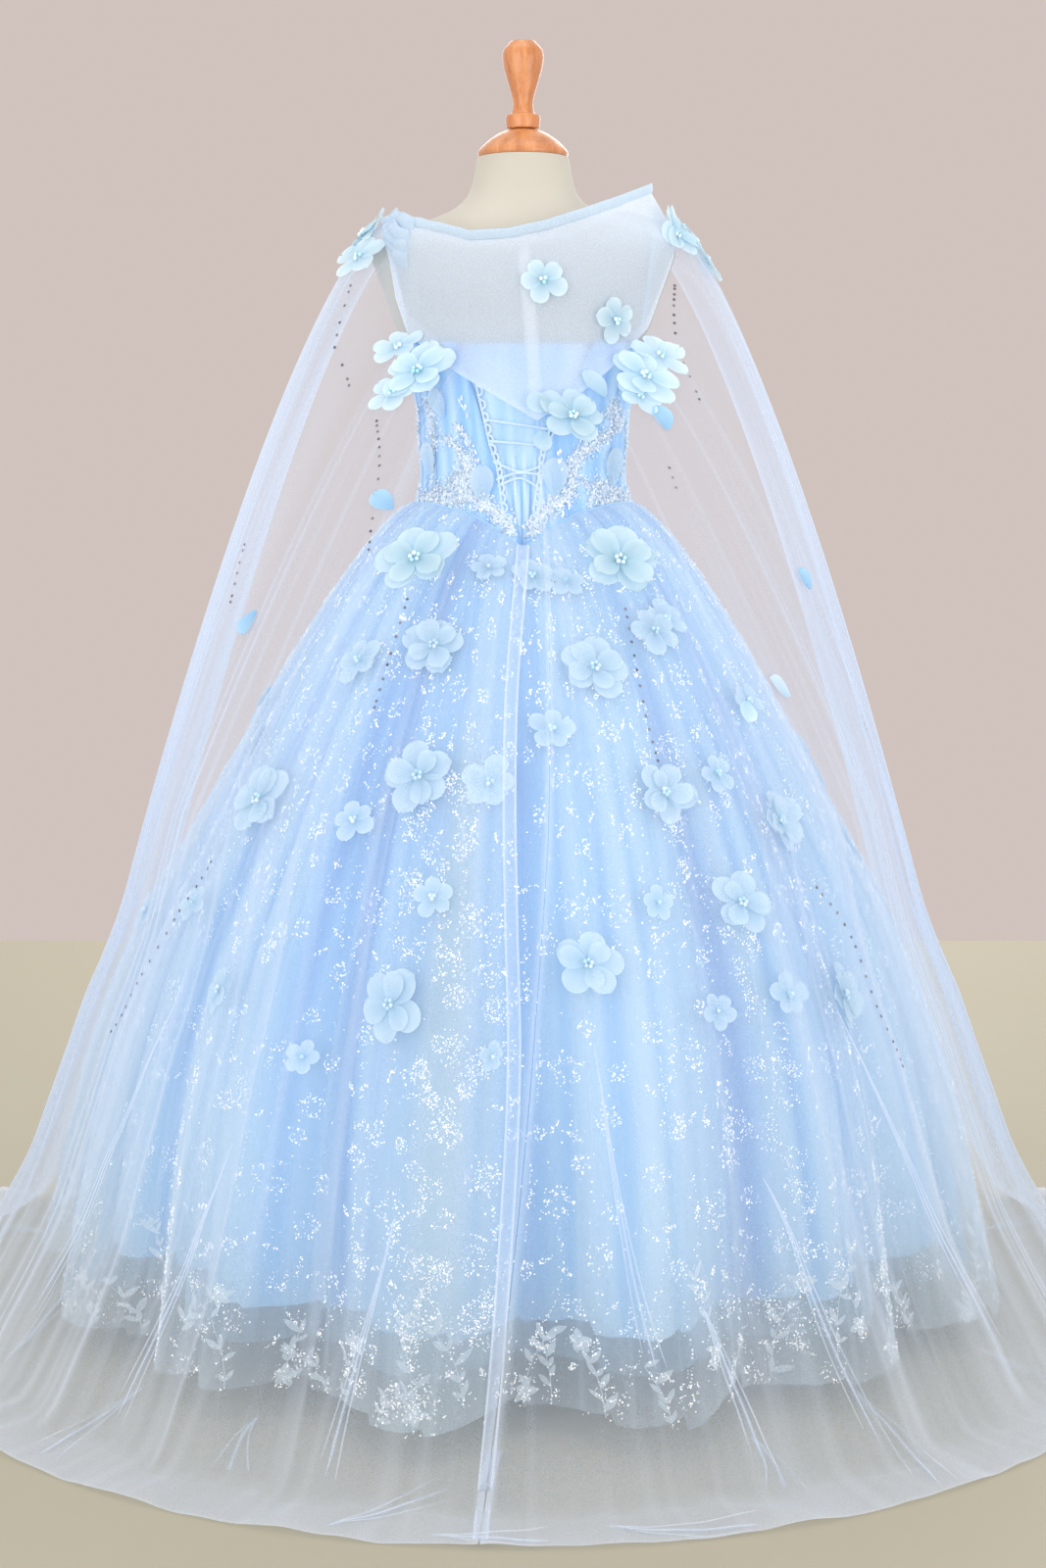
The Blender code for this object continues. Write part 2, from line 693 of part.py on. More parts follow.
def seat(layer, angle, centre, out):
    # The nearest place for a flower's foot, just clear of the solid it is sewn to
    names = {
        "cape": "cape_left" if angle < 3 else "cape_right",
        "skirt": "skirt_overlay",
        "yoke": "yoke",
        "bodice": "bodice_front_side_left" if angle < 0 else "bodice_front_side_right",
    }
    cloth = bpy.data.objects[names[layer]]
    found, hit = cloth.ray_cast(centre + out * 0.03, -out)[:2]
    return (hit if found else centre) + out * 0.0003


def build_flower(name, row):
    # A cupped flower with five petals, its points moved out from the layer it is sewn to
    layer, angle, height = row["on"], row["angle"], row["height"]
    centre = surface(layer, angle, height)
    across = surface(layer, angle + 1, height) - surface(layer, angle - 1, height)
    upward = surface(layer, angle, height + 0.01) - surface(layer, angle, height - 0.01)
    out = across.cross(upward).normalized()
    across, upward = across / 2, upward / 0.02
    size = row["radius"]
    petal = [(0.58, 0.006), (0.98, 0.011), (0.98, 0.011)]
    sides = 5 * len(petal)

    def point(radius, turn, lift):
        # On the plane at its centre, raised wherever the layer rises above that
        x, y = radius * math.cos(turn), radius * math.sin(turn)
        flat = centre + across.normalized() * x + upward.normalized() * y
        cloth = surface(layer, angle + x / across.length, height + y / upward.length)
        rise = (cloth - flat).dot(out)
        return flat + out * (lift + max(rise, 0.5 * rise))

    turns = [math.radians(row["turn"] + 360 * k / sides) for k in range(sides)]
    reach = [size * petal[k % len(petal)][0] for k in range(sides)]
    lifts = [petal[k % len(petal)][1] for k in range(sides)]
    rims = [point(r, t, lift) for r, t, lift in zip(reach, turns, lifts)]
    top, low = centre + out * 0.0065, seat(layer, angle, centre, out)
    points = [top, low]
    points += [top + (p - top) * 0.5 - out * 0.0008 for p in rims]
    points += rims
    points += [p - out * 0.0025 for p in rims]
    mid, rim, under = 2, 2 + sides, 2 + 2 * sides
    faces = []
    for k in range(sides):
        n = (k + 1) % sides
        faces += [
            (0, mid + k, mid + n),
            (mid + k, rim + k, rim + n, mid + n),
            (rim + k, under + k, under + n, rim + n),
            (1, under + n, under + k),
        ]
    solid(name, points, faces, "organza")


for old in list(bpy.data.objects):
    bpy.data.objects.remove(old)
build_form()
build_bodice()
build_modesty_panel()
build_lacing()
build_straps()
build_skirt_layer("skirt_lining", 1, LINING_HEM, 5, 7)
build_skirt_layer("skirt_overlay", 0, OVERLAY_HEM, 8, 7)
build_yoke()
build_cape()
bpy.context.view_layer.update()
for number, flower in enumerate(FLOWERS, 1):
    build_flower(f"flower_{number:02d}", flower)
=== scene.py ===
import random
from math import atan2, cos, degrees, exp, floor, hypot, pi, radians, sin

import bpy
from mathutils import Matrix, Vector, noise


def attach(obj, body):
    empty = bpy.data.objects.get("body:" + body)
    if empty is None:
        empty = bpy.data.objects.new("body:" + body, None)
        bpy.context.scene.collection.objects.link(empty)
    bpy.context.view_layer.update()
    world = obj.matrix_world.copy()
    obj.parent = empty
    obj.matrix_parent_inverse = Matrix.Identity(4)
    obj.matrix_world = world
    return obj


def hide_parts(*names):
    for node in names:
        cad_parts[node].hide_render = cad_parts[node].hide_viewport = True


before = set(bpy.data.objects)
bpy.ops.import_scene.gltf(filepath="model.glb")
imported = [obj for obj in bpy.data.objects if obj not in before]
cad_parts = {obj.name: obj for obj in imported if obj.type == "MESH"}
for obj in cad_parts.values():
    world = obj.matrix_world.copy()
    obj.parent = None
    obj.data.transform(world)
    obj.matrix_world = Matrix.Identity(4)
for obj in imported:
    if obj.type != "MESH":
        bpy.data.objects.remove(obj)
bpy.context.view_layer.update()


def tableOf(keys, *table):
    # A table's rows as dictionaries, with the keys that its first line names
    names = keys.split()
    return [dict(zip(names, row)) for row in table]


def sewn(keys, *groups):
    # The same, from groups of rows that share their first value
    return tableOf(keys, *((first, *row) for first, rows in groups for row in rows))


# Metres, Z up, the floor at Z = 0. Angles are degrees from the centre back, positive towards +X.
# The tables down to capeFolds repeat the solids' own, so that each shell lies on its solid.
cut = {
    "bodiceOut": 0.0056,
    "panelOut": 0.0022,
    "skirtJoin": 0.7,
    "skirtFlare": 0.75,
    "liningHem": 0.1,
    "middleHem": 0.072,
    "overlayHem": 0.03,
    "waistGap": 0.0049,
    "waistFall": 0.04,
    "overlayGap": 0.006,
    "hemGap": 0.05,
    "foldDepth": 0.045,
    "ripple": 0.009,
    "capeJoin": 0.62,
    "capeFront": 112,
    "capeClear": 0.014,
    "seamTop": 8,
    "seamFloor": -3,
    "train": 0.8,
}
body = tableOf(
    "height width back front",
    (0.8, 0.146, 0.1, 0.095), (0.86, 0.158, 0.118, 0.105), (0.92, 0.146, 0.112, 0.102),
    (0.965, 0.13, 0.098, 0.096), (1.005, 0.122, 0.09, 0.093), (1.05, 0.124, 0.094, 0.1),
    (1.1, 0.128, 0.102, 0.112), (1.15, 0.141, 0.108, 0.124), (1.19, 0.156, 0.11, 0.124),
    (1.23, 0.17, 0.108, 0.108), (1.262, 0.182, 0.098, 0.09), (1.283, 0.185, 0.084, 0.074),
    (1.3, 0.16, 0.072, 0.062), (1.315, 0.122, 0.064, 0.058), (1.33, 0.086, 0.059, 0.057),
    (1.35, 0.066, 0.056, 0.056), (1.392, 0.0555, 0.0545, 0.0545),
)
skirt = tableOf(
    "height radius",
    (0.03, 0.575), (0.1, 0.562), (0.2, 0.545), (0.3, 0.523), (0.4, 0.49), (0.48, 0.455),
    (0.55, 0.417), (0.6, 0.39), (0.65, 0.363), (0.7, 0.335),
)
cape = tableOf(
    "height radius",
    (0.0, 0.725), (0.02, 0.705), (0.06, 0.68), (0.11, 0.65), (0.17, 0.618), (0.24, 0.592),
    (0.3, 0.57), (0.37, 0.545), (0.42, 0.523), (0.48, 0.5), (0.55, 0.48), (0.62, 0.46),
)
capeTop = tableOf(
    "angle radius height",
    (-112, 0.16, 1.304), (-102, 0.158, 1.322), (-90, 0.16, 1.324), (-78, 0.173, 1.308),
    (-68, 0.173, 1.262), (-66, 0.168, 1.217), (-63, 0.156, 1.176), (-48, 0.141, 1.15),
    (-40, 0.132, 1.133), (8, 0.12, 1.073), (41, 0.132, 1.118), (50, 0.14, 1.137),
    (72, 0.161, 1.187), (80, 0.188, 1.275), (90, 0.176, 1.325), (100, 0.168, 1.326),
    (112, 0.16, 1.304),
)
neckline = tableOf(
    "angle radius height",
    (-82, 0.153, 1.32), (-61, 0.127, 1.302), (-34, 0.107, 1.285), (-10, 0.097, 1.287),
    (18, 0.097, 1.298), (45, 0.106, 1.314), (69, 0.126, 1.332), (85, 0.156, 1.35),
)
basque = tableOf(
    "angle height",
    (0, 0.923), (15, 0.945), (35, 0.965), (60, 0.975), (90, 0.978), (135, 0.968), (160, 0.94),
    (180, 0.905),
)
neckEdge = tableOf(
    "angle height",
    (0, 1.164), (60, 1.168), (90, 1.172), (125, 1.192), (150, 1.205), (168, 1.192), (180, 1.165),
)
opening = tableOf(
    "share left right",
    (0.0, -0.4, 0.4), (0.09, -3, 3), (0.24, -16, 11), (0.36, -18, 13), (0.46, -24, 16),
    (0.57, -27, 25), (0.76, -32, 32), (1.0, -38, 41),
)
skirtFolds = tableOf(
    "angle size",
    (-165, 1.0), (-140, 0.8), (-114, 0.9), (-88, 1.0), (-62, 0.7), (-38, 0.6), (-11, 1.0),
    (15, 1.0), (40, 0.6), (64, 0.9), (104, 0.8), (128, 1.0), (150, 0.9), (172, 0.8),
)
capeFolds = tableOf(
    "angle size",
    (7, 0.8), (20, 1.0), (33, 0.7), (47, 1.0), (60, 0.6), (73, 1.0), (88, 0.7), (101, 0.9),
)


def read(table, column, value, key="height"):
    if value <= table[0][key]:
        return table[0][column]
    for low, high in zip(table, table[1:]):
        if value <= high[key]:
            share = (value - low[key]) / (high[key] - low[key])
            return low[column] + (high[column] - low[column]) * share
    return table[-1][column]


def smooth(table, column, value, key="height"):
    # A smooth curve through the rows of a table
    count = len(table)
    for i in range(count - 1):
        low, high = table[i], table[i + 1]
        if value <= high[key] or i == count - 2:
            break
    span = high[key] - low[key]
    share = min(max((value - low[key]) / span, 0), 1)
    before, after = table[max(i - 1, 0)], table[min(i + 2, count - 1)]
    leave = (high[column] - before[column]) / (high[key] - before[key]) * span
    arrive = (after[column] - low[column]) / (after[key] - low[key]) * span
    ends = low[column] * (2 * share**3 - 3 * share**2 + 1)
    ends += high[column] * (3 * share**2 - 2 * share**3)
    return ends + leave * (share**3 - 2 * share**2 + share) + arrive * (share**3 - share**2)


def place(angle, radius, height):
    turn = radians(angle)
    return Vector((radius * sin(turn), -radius * cos(turn), height))


def levelOut(point):
    # Level, and away from the part's middle line
    return Vector((point.x, point.y, 0)).normalized()


def direction(path, i):
    return (path[min(i + 1, len(path) - 1)] - path[max(i - 1, 0)]).normalized()


def sharp(value, width):
    # 1 in the middle of a soft line and close to 0 two widths away
    return exp(-((value / width) ** 2))


def wrap(angle):
    return (angle + 180) % 360 - 180


def clamp(value, low=0.0, high=1.0):
    return min(max(value, low), high)


def bodyRadius(angle, height, out=0.0):
    side = "back" if abs(wrap(angle)) < 90 else "front"
    width = smooth(body, "width", height) + out
    depth = smooth(body, side, height) + out
    turn = radians(angle)
    return width * depth / hypot(depth * sin(turn), width * cos(turn))


def fold(table, angle):
    turn = (angle - table[0]["angle"]) % 360
    angles = [(row["angle"] - table[0]["angle"]) % 360 for row in table] + [360]
    sizes = [row["size"] for row in table] + [table[0]["size"]]
    for low, high, here, after in zip(angles, angles[1:], sizes, sizes[1:]):
        if turn <= high:
            share = (turn - low) / (high - low)
            return cos(2 * pi * share) * (here + (after - here) * share), share
    return 0.0, 0.0


def basqueAt(angle):
    return read(basque, "height", abs(wrap(angle)), "angle")


def skirtRadius(angle, height, inner=0.0):
    # inner is 0 for the overlay and 1 for the lining below it
    top = basqueAt(angle)
    start = bodyRadius(angle, top, cut["bodiceOut"] + cut["waistGap"])
    fall = clamp((top - height) / (top - cut["overlayHem"]))
    if height > cut["skirtJoin"]:
        share = clamp((top - height) / (top - cut["skirtJoin"]))
        mean = start + (skirt[-1]["radius"] - start) * share ** cut["skirtFlare"]
    else:
        mean = smooth(skirt, "radius", height)
    wave, share = fold(skirtFolds, angle)
    loose = clamp((top - height) / cut["waistFall"])
    drop = cut["waistGap"] + (cut["overlayGap"] - cut["waistGap"]) * loose
    drop += (cut["hemGap"] - cut["overlayGap"]) * fall**1.3
    ripple = cut["ripple"] * fall * (0.5 - 0.5 * cos(4 * pi * share))
    return mean + cut["foldDepth"] * wave * fall**1.6 + ripple * (1 - inner) - drop * inner


def capeRadius(angle, height, lean=0.0):
    angle = wrap(angle)
    top = read(capeTop, "height", angle, "angle")
    start = read(capeTop, "radius", angle, "angle")
    if height > cut["capeJoin"]:
        share = clamp((top - height) / (top - cut["capeJoin"]))
        straight = 1 - 0.3 * min(abs(angle) / 80, 1) ** 2
        mean = start + (cape[-1]["radius"] - start) * share**straight
    else:
        mean = smooth(cape, "radius", height)
    fall = clamp((top - height) / top)
    mean += 0.01 * fall * fold(capeFolds, abs(angle) + (3 if angle < 0 else 0))[0]
    if cut["overlayHem"] < height < 0.9:
        mean = max(mean, skirtRadius(angle, height) + cut["capeClear"])
    return mean + lean


def wisp(angle, height, pace, seed):
    # Slow uneven waves round the cloth that change little with height
    turn = radians(angle)
    return noise.noise(Vector((sin(turn) * pace, cos(turn) * pace, height * 1.3 + seed)))


# Camera, floor and lights
camera = {"distance": 2.794, "height": 0.992, "pitch": 7.5, "lens": 51.28}
room = {
    "floorHalf": 2.08,
    "floorTone": "ADA590",
    "floorWorn": "B3AB96",
    "air": "CBBEB9",
    "airStrength": 1.06,
    "soft": "EDECEB",
    "softStrength": 1.12,
}
lamps = tableOf(
    "name at size power",
    ("key", (-1.9, -3.3, 1.2), 2.6, 50),
    ("fill", (2.5, -3.0, 0.6), 2.6, 50),
    ("top", (0.0, -0.6, 3.4), 2.0, 12),
    ("front", (0.4, 3.2, 2.2), 2.4, 42),
)


def linear(hexText, alpha=1.0):
    parts = [int(hexText[i : i + 2], 16) / 255 for i in (0, 2, 4)]
    return [p / 12.92 if p <= 0.04045 else ((p + 0.055) / 1.055) ** 2.4 for p in parts] + [alpha]


def tint(value):
    return linear(value) if isinstance(value, str) else value


class nodeWriter:
    # A short way to write a node tree
    def __init__(self, name):
        self.material = bpy.data.materials.new(name)
        self.material.use_nodes = True
        self.tree = self.material.node_tree
        self.tree.nodes.clear()
        self.out = self.tree.nodes.new("ShaderNodeOutputMaterial")

    def add(self, kind, **settings):
        node = self.tree.nodes.new("ShaderNode" + kind)
        for key, value in settings.items():
            setattr(node, key, value)
        return node

    def put(self, socket, value):
        if hasattr(value, "node"):
            self.tree.links.new(value, socket)
        else:
            socket.default_value = tint(value)

    def make(self, kind, output=0, **sockets):
        # Adds a node, fills its sockets by name and gives one of its outputs
        node = self.add(kind)
        for name, value in sockets.items():
            self.put(node.inputs[name.replace("_", " ")], value)
        return node.outputs[output]

    def sum(self, operation, a, b=0.0, held=False):
        node = self.add("Math", operation=operation, use_clamp=held)
        self.put(node.inputs[0], a)
        self.put(node.inputs[1], b)
        return node.outputs[0]

    def where(self):
        return self.add("TexCoord").outputs["Object"]

    def noise(self, scale, detail=2.0, vector=None, rough=0.5):
        where = vector or self.where()
        return self.make("TexNoise", "Fac", Vector=where, Scale=scale, Detail=detail, Roughness=rough)

    def ramp(self, value, stops):
        node = self.add("ValToRGB")
        self.put(node.inputs[0], value)
        elements = node.color_ramp.elements
        while len(elements) < len(stops):
            elements.new(0.5)
        for element, (position, colour) in zip(elements, stops):
            element.position, element.color = position, tint(colour)
        return node.outputs[0]

    def blend(self, share, a, b):
        node = self.add("Mix", data_type="RGBA")
        self.put(node.inputs[0], share)
        self.put(node.inputs[6], a)
        self.put(node.inputs[7], b)
        return node.outputs[2]

    def mark(self, name):
        return self.add("Attribute", attribute_name=name).outputs["Fac"]

    def bump(self, height, strength, distance):
        return self.make("Bump", Height=height, Strength=strength, Distance=distance)

    def mixShaders(self, share, a, b):
        node = self.add("MixShader")
        self.put(node.inputs[0], share)
        self.tree.links.new(a, node.inputs[1])
        self.tree.links.new(b, node.inputs[2])
        return node.outputs[0]

    def glossy(self, colour, rough, normal=None, **sockets):
        if normal is not None:
            sockets["Normal"] = normal
        return self.make("BsdfPrincipled", Base_Color=colour, Roughness=rough, **sockets)

    def seeThrough(self, solid, cloth):
        return self.mixShaders(solid, self.make("BsdfTransparent"), cloth)

    def surface(self, shader):
        self.tree.links.new(shader, self.out.inputs["Surface"])
        return self.material


def sheerMaterial(name, thin, edge, cover, folded):
    # Net blocks more of the view where it is seen edge on or lies double, as real net does
    n = nodeWriter(name)
    facing = n.make("LayerWeight", "Facing", Blend=0.5)
    slant = n.sum("MAXIMUM", n.sum("SUBTRACT", 1.0, facing), 0.09)
    more = n.mark("dense")
    layers = n.sum("DIVIDE", n.sum("ADD", 1.0, n.sum("MULTIPLY", more, 6.0)), slant)
    solid = n.sum("SUBTRACT", 1.0, n.sum("POWER", 1 - cover, layers), True)
    grain = n.noise(700.0, 0.0)
    solid = n.sum("MULTIPLY", solid, n.sum("ADD", 0.82, n.sum("MULTIPLY", grain, 0.36)), True)
    # Paler where the net is seen edge on: a painted sheen
    colour = n.blend(facing, thin, edge)
    colour = n.blend(n.sum("MULTIPLY", more, 1.6, True), colour, folded)
    diffuse, glow = n.make("BsdfDiffuse", Color=colour), n.make("BsdfTranslucent", Color=colour)
    return n.surface(n.seeThrough(solid, n.mixShaders(0.45, diffuse, glow)))


def satinMaterial():
    # Painted shade and highlight: the depth mark, with broad uneven noise, picks pale blue on the folds'
    # ridges and deeper blue in their valleys, with a fine cross weave
    n = nodeWriter("satin")
    depth = n.mark("depth")
    wide = n.sum("MULTIPLY", n.sum("SUBTRACT", n.noise(4.0, 3.0), 0.5), 0.25)
    share = n.sum("ADD", depth, wide, True)
    colour = n.ramp(share, [(0.0, "4E98DF"), (0.3, "8DC4F0"), (0.65, "BFDFF6"), (1.0, "DCEEF9")])
    weave = n.add("TexWave", wave_type="BANDS", bands_direction="Z")
    n.put(weave.inputs["Vector"], n.where())
    weave.inputs["Scale"].default_value = 900
    slub = n.noise(60.0, 4.0)
    rough = n.sum("ADD", 0.38, n.sum("MULTIPLY", slub, 0.16))
    normal = n.bump(n.sum("ADD", weave.outputs["Fac"], slub), 0.08, 0.0004)
    return n.surface(n.glossy(colour, rough, normal, Sheen_Weight=0.2))


def organzaMaterial(name, heart, middle, rim):
    # Crisp petals: paler at the rim, and a little light comes through
    n = nodeWriter(name)
    mottled = n.sum("MULTIPLY", n.sum("SUBTRACT", n.noise(45.0, 3.0), 0.5), 0.3)
    share = n.sum("ADD", n.mark("rim"), mottled, True)
    colour = n.ramp(share, [(0.0, heart), (0.5, middle), (1.0, rim)])
    normal = n.bump(n.noise(160.0, 2.0), 0.12, 0.0008)
    shader = n.glossy(colour, 0.55, normal, Sheen_Weight=0.2)
    cloth = n.mixShaders(0.35, shader, n.make("BsdfTranslucent", Color=colour))
    solid = n.sum("ADD", 0.74, n.sum("MULTIPLY", n.mark("rim"), 0.22), True)
    return n.surface(n.seeThrough(solid, cloth))


def speckMaterial(name, stops, metallic, rough, glow):
    # Each speck takes its own tint from its island. The tints mix real colour with painted glints and painted
    # shade, and glow is emission: a painted sparkle, as the specks are no lamp
    n = nodeWriter(name)
    colour = n.ramp(n.make("NewGeometry", "Random Per Island"), stops)
    shine = n.sum("ADD", rough, n.sum("MULTIPLY", n.noise(400.0, 1.0), 0.1))
    own = {"Metallic": metallic, "Emission_Color": colour, "Emission_Strength": glow}
    return n.surface(n.glossy(colour, shine, **own))


def jerseyMaterial():
    n = nodeWriter("jersey")
    colour = n.blend(n.noise(12.0, 4.0), "BBB4A5", "C8C2B6")
    normal = n.bump(n.noise(1400.0, 2.0), 0.15, 0.0003)
    return n.surface(n.glossy(colour, 0.8, normal, Sheen_Weight=0.2))


def woodMaterial():
    n = nodeWriter("wood")
    stretch = n.make("Mapping", Vector=n.where(), Scale=(60, 60, 7))
    grain = n.sum("MULTIPLY", n.noise(1.0, 5.0, stretch, 0.65), 0.8)
    fine = n.noise(9.0, 3.0, stretch)
    share = n.sum("ADD", grain, n.sum("MULTIPLY", fine, 0.25), True)
    colour = n.ramp(share, [(0.3, "A9602F"), (0.55, "CF8650"), (0.8, "E3A878")])
    rough = n.sum("ADD", 0.28, n.sum("MULTIPLY", fine, 0.2))
    return n.surface(n.glossy(colour, rough, n.bump(fine, 0.1, 0.0004), Coat_Weight=0.3))


def paintMaterial(name, tone, worn, scale):
    n = nodeWriter(name)
    mottled = n.noise(scale, 4.0)
    colour = n.blend(mottled, tone, worn)
    rough = n.sum("ADD", 0.55, n.sum("MULTIPLY", mottled, 0.3))
    return n.surface(n.glossy(colour, rough, n.bump(n.noise(scale * 20, 2.0), 0.05, 0.0004)))


# Glitter tints: real silver and colour, with near-white painted glints and grey painted shade
glitterTintsAndGlints = [
    (0.0, (0.42, 0.46, 0.54, 1)),
    (0.22, (0.8, 0.82, 0.86, 1)),
    (0.42, (0.97, 0.97, 1.0, 1)),
    (0.62, (1.0, 0.86, 0.8, 1)),
    (0.8, (0.84, 0.94, 0.98, 1)),
    (1.0, (1.0, 0.92, 0.72, 1)),
]
# Sequin and crystal tints: real colour, with near-white painted glints and dark painted reflections
sequinTintsAndGlints = [
    (0.0, (0.16, 0.24, 0.34, 1)),
    (0.16, (0.46, 0.56, 0.66, 1)),
    (0.3, (0.9, 0.95, 1.0, 1)),
    (0.46, (0.94, 0.82, 0.84, 1)),
    (0.54, (0.4, 0.52, 0.64, 1)),
    (0.68, (0.98, 0.99, 1.0, 1)),
    (0.8, (0.6, 0.84, 0.82, 1)),
    (0.9, (0.56, 0.66, 0.74, 1)),
    (1.0, (0.98, 0.96, 0.88, 1)),
]
pearlTones = [
    (0.0, (0.45, 0.75, 0.82, 1)),
    (0.4, (0.86, 0.94, 0.96, 1)),
    (0.7, (0.35, 0.7, 0.8, 1)),
    (1.0, (0.8, 0.86, 0.88, 1)),
]
stoneTones = [(0.0, (0.06, 0.06, 0.09, 1)), (0.5, (0.26, 0.22, 0.26, 1)), (1.0, (0.1, 0.08, 0.12, 1))]
looks = {
    "satin": satinMaterial(),
    "overlay": sheerMaterial("overlay_net", "E4F2FC", "EEF7FD", 0.2, "C6D6D8"),
    "middle": sheerMaterial("middle_net", "BCD9EE", "D2E5F3", 0.24, "BCD9EE"),
    "sheer": sheerMaterial("cape_net", "D9E7FD", "EAF1FE", 0.18, "F0F5FE"),
    "yoke": sheerMaterial("yoke_organza", "E0ECFC", "E8F1FD", 0.74, "F1F6FD"),
    "binding": sheerMaterial("neck_ribbon", "D6E6F4", "E5EFF8", 0.66, "E5EFF8"),
    "printed": sheerMaterial("printed_leaves", "E6EFF3", "EEF4F7", 0.5, "F4F8FA"),
    "organza": organzaMaterial("organza", "BCDFF1", "D2EAF5", "E2F2F9"),
    "paleOrganza": organzaMaterial("pale_organza", "B2D5E4", "C6DFE9", "D4E6ED"),
    "blueOrganza": organzaMaterial("blue_organza", "80BFE6", "9DCDEB", "B4D9F0"),
    "glitter": speckMaterial("glitter", glitterTintsAndGlints, 0.2, 0.3, 0.34),
    "sequin": speckMaterial("sequin", sequinTintsAndGlints, 0.15, 0.2, 0.14),
    "pearl": speckMaterial("pearl", pearlTones, 0.1, 0.12, 0.05),
    "crystal": speckMaterial("crystal", sequinTintsAndGlints, 0.7, 0.08, 0.25),
    "stone": speckMaterial("stone", stoneTones, 0.2, 0.15, 0.0),
    "jersey": jerseyMaterial(),
    "wood": woodMaterial(),
    "steel": paintMaterial("steel", "8F8F92", "A9A9AB", 60.0),
}


def addObject(name, data):
    made = bpy.data.objects.new(name, data)
    bpy.context.scene.collection.objects.link(made)
    return made


def cameraFloorLights():
    eye = addObject("camera", bpy.data.cameras.new("camera"))
    eye.data.lens = camera["lens"]
    eye.data.sensor_width = 36
    eye.location = (0, -camera["distance"], camera["height"])
    eye.rotation_euler = (radians(90 - camera["pitch"]), 0, 0)
    bpy.context.scene.camera = eye
    bpy.context.scene.view_settings.view_transform = "Standard"
    half = room["floorHalf"]
    mesh = bpy.data.meshes.new("floor")
    corners = [(-half, -half), (half, -half), (half, half), (-half, half)]
    mesh.from_pydata([(x, y, -0.0006) for x, y in corners], [], [(0, 1, 2, 3)])
    ground = addObject("floor", mesh)
    ground.data.materials.append(paintMaterial("floor", room["floorTone"], room["floorWorn"], 3.0))
    world = bpy.data.worlds.new("studio")
    world.use_nodes = True
    tree = world.node_tree
    both = tree.nodes.new("ShaderNodeMixShader")
    seen = tree.nodes.new("ShaderNodeLightPath")
    tree.links.new(seen.outputs["Is Camera Ray"], both.inputs[0])
    backgrounds = tree.nodes.new("ShaderNodeBackground"), tree.nodes["Background"]
    for i, (name, node) in enumerate(zip(("soft", "air"), backgrounds), 1):
        node.inputs["Color"].default_value = linear(room[name])
        node.inputs["Strength"].default_value = room[name + "Strength"]
        tree.links.new(node.outputs[0], both.inputs[i])
    tree.links.new(both.outputs[0], tree.nodes["World Output"].inputs["Surface"])
    bpy.context.scene.world = world
    for row in lamps:
        lamp = bpy.data.lights.new(row["name"], "AREA")
        lamp.energy, lamp.size = row["power"], row["size"]
        made = addObject(row["name"], lamp)
        made.location = row["at"]
        aim = Vector((0, 0, 0.8)) - Vector(row["at"])
        made.rotation_euler = aim.to_track_quat("-Z", "Y").to_euler()


cameraFloorLights()
print("camera, floor and lights done", flush=True)


def piece(name, points, faces, look, stands=(), marks=None, rounded=True):
    # One mesh piece that rides on the part, with its material, slot and the nodes it stands for
    mesh = bpy.data.meshes.new(name)
    mesh.from_pydata([tuple(p) for p in points], [], faces)
    mesh.polygons.foreach_set("use_smooth", [rounded] * len(mesh.polygons))
    for mark, values in (marks or {}).items():
        mesh.attributes.new(mark, "FLOAT", "POINT").data.foreach_set("value", values)
    made = addObject(name, mesh)
    made.data.materials.append(look)
    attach(made, "root")
    if stands:
        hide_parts(*stands)
    return made


def gridFaces(rows, columns, closed=False, start=0):
    steps = columns if closed else columns - 1
    faces = []
    for i in range(rows - 1):
        low, high = start + i * columns, start + (i + 1) * columns
        faces += [
            (low + j, low + (j + 1) % columns, high + (j + 1) % columns, high + j)
            for j in range(steps)
        ]
    return faces


def sheetPiece(name, grid, look, stands=(), closed=False, marks=None):
    points = [p for line in grid for p in line]
    faces = gridFaces(len(grid), len(grid[0]), closed)
    flat = {key: [v for line in rows for v in line] for key, rows in (marks or {}).items()}
    return piece(name, points, faces, look, stands, flat)


def gridArea(grid, closed=False):
    total = 0.0
    columns = len(grid[0])
    for low, high in zip(grid, grid[1:]):
        for j in range(columns if closed else columns - 1):
            k = (j + 1) % columns
            total += (low[k] - low[j]).cross(high[j] - low[j]).length / 2
            total += (high[j] - high[k]).cross(low[k] - high[k]).length / 2
    return total


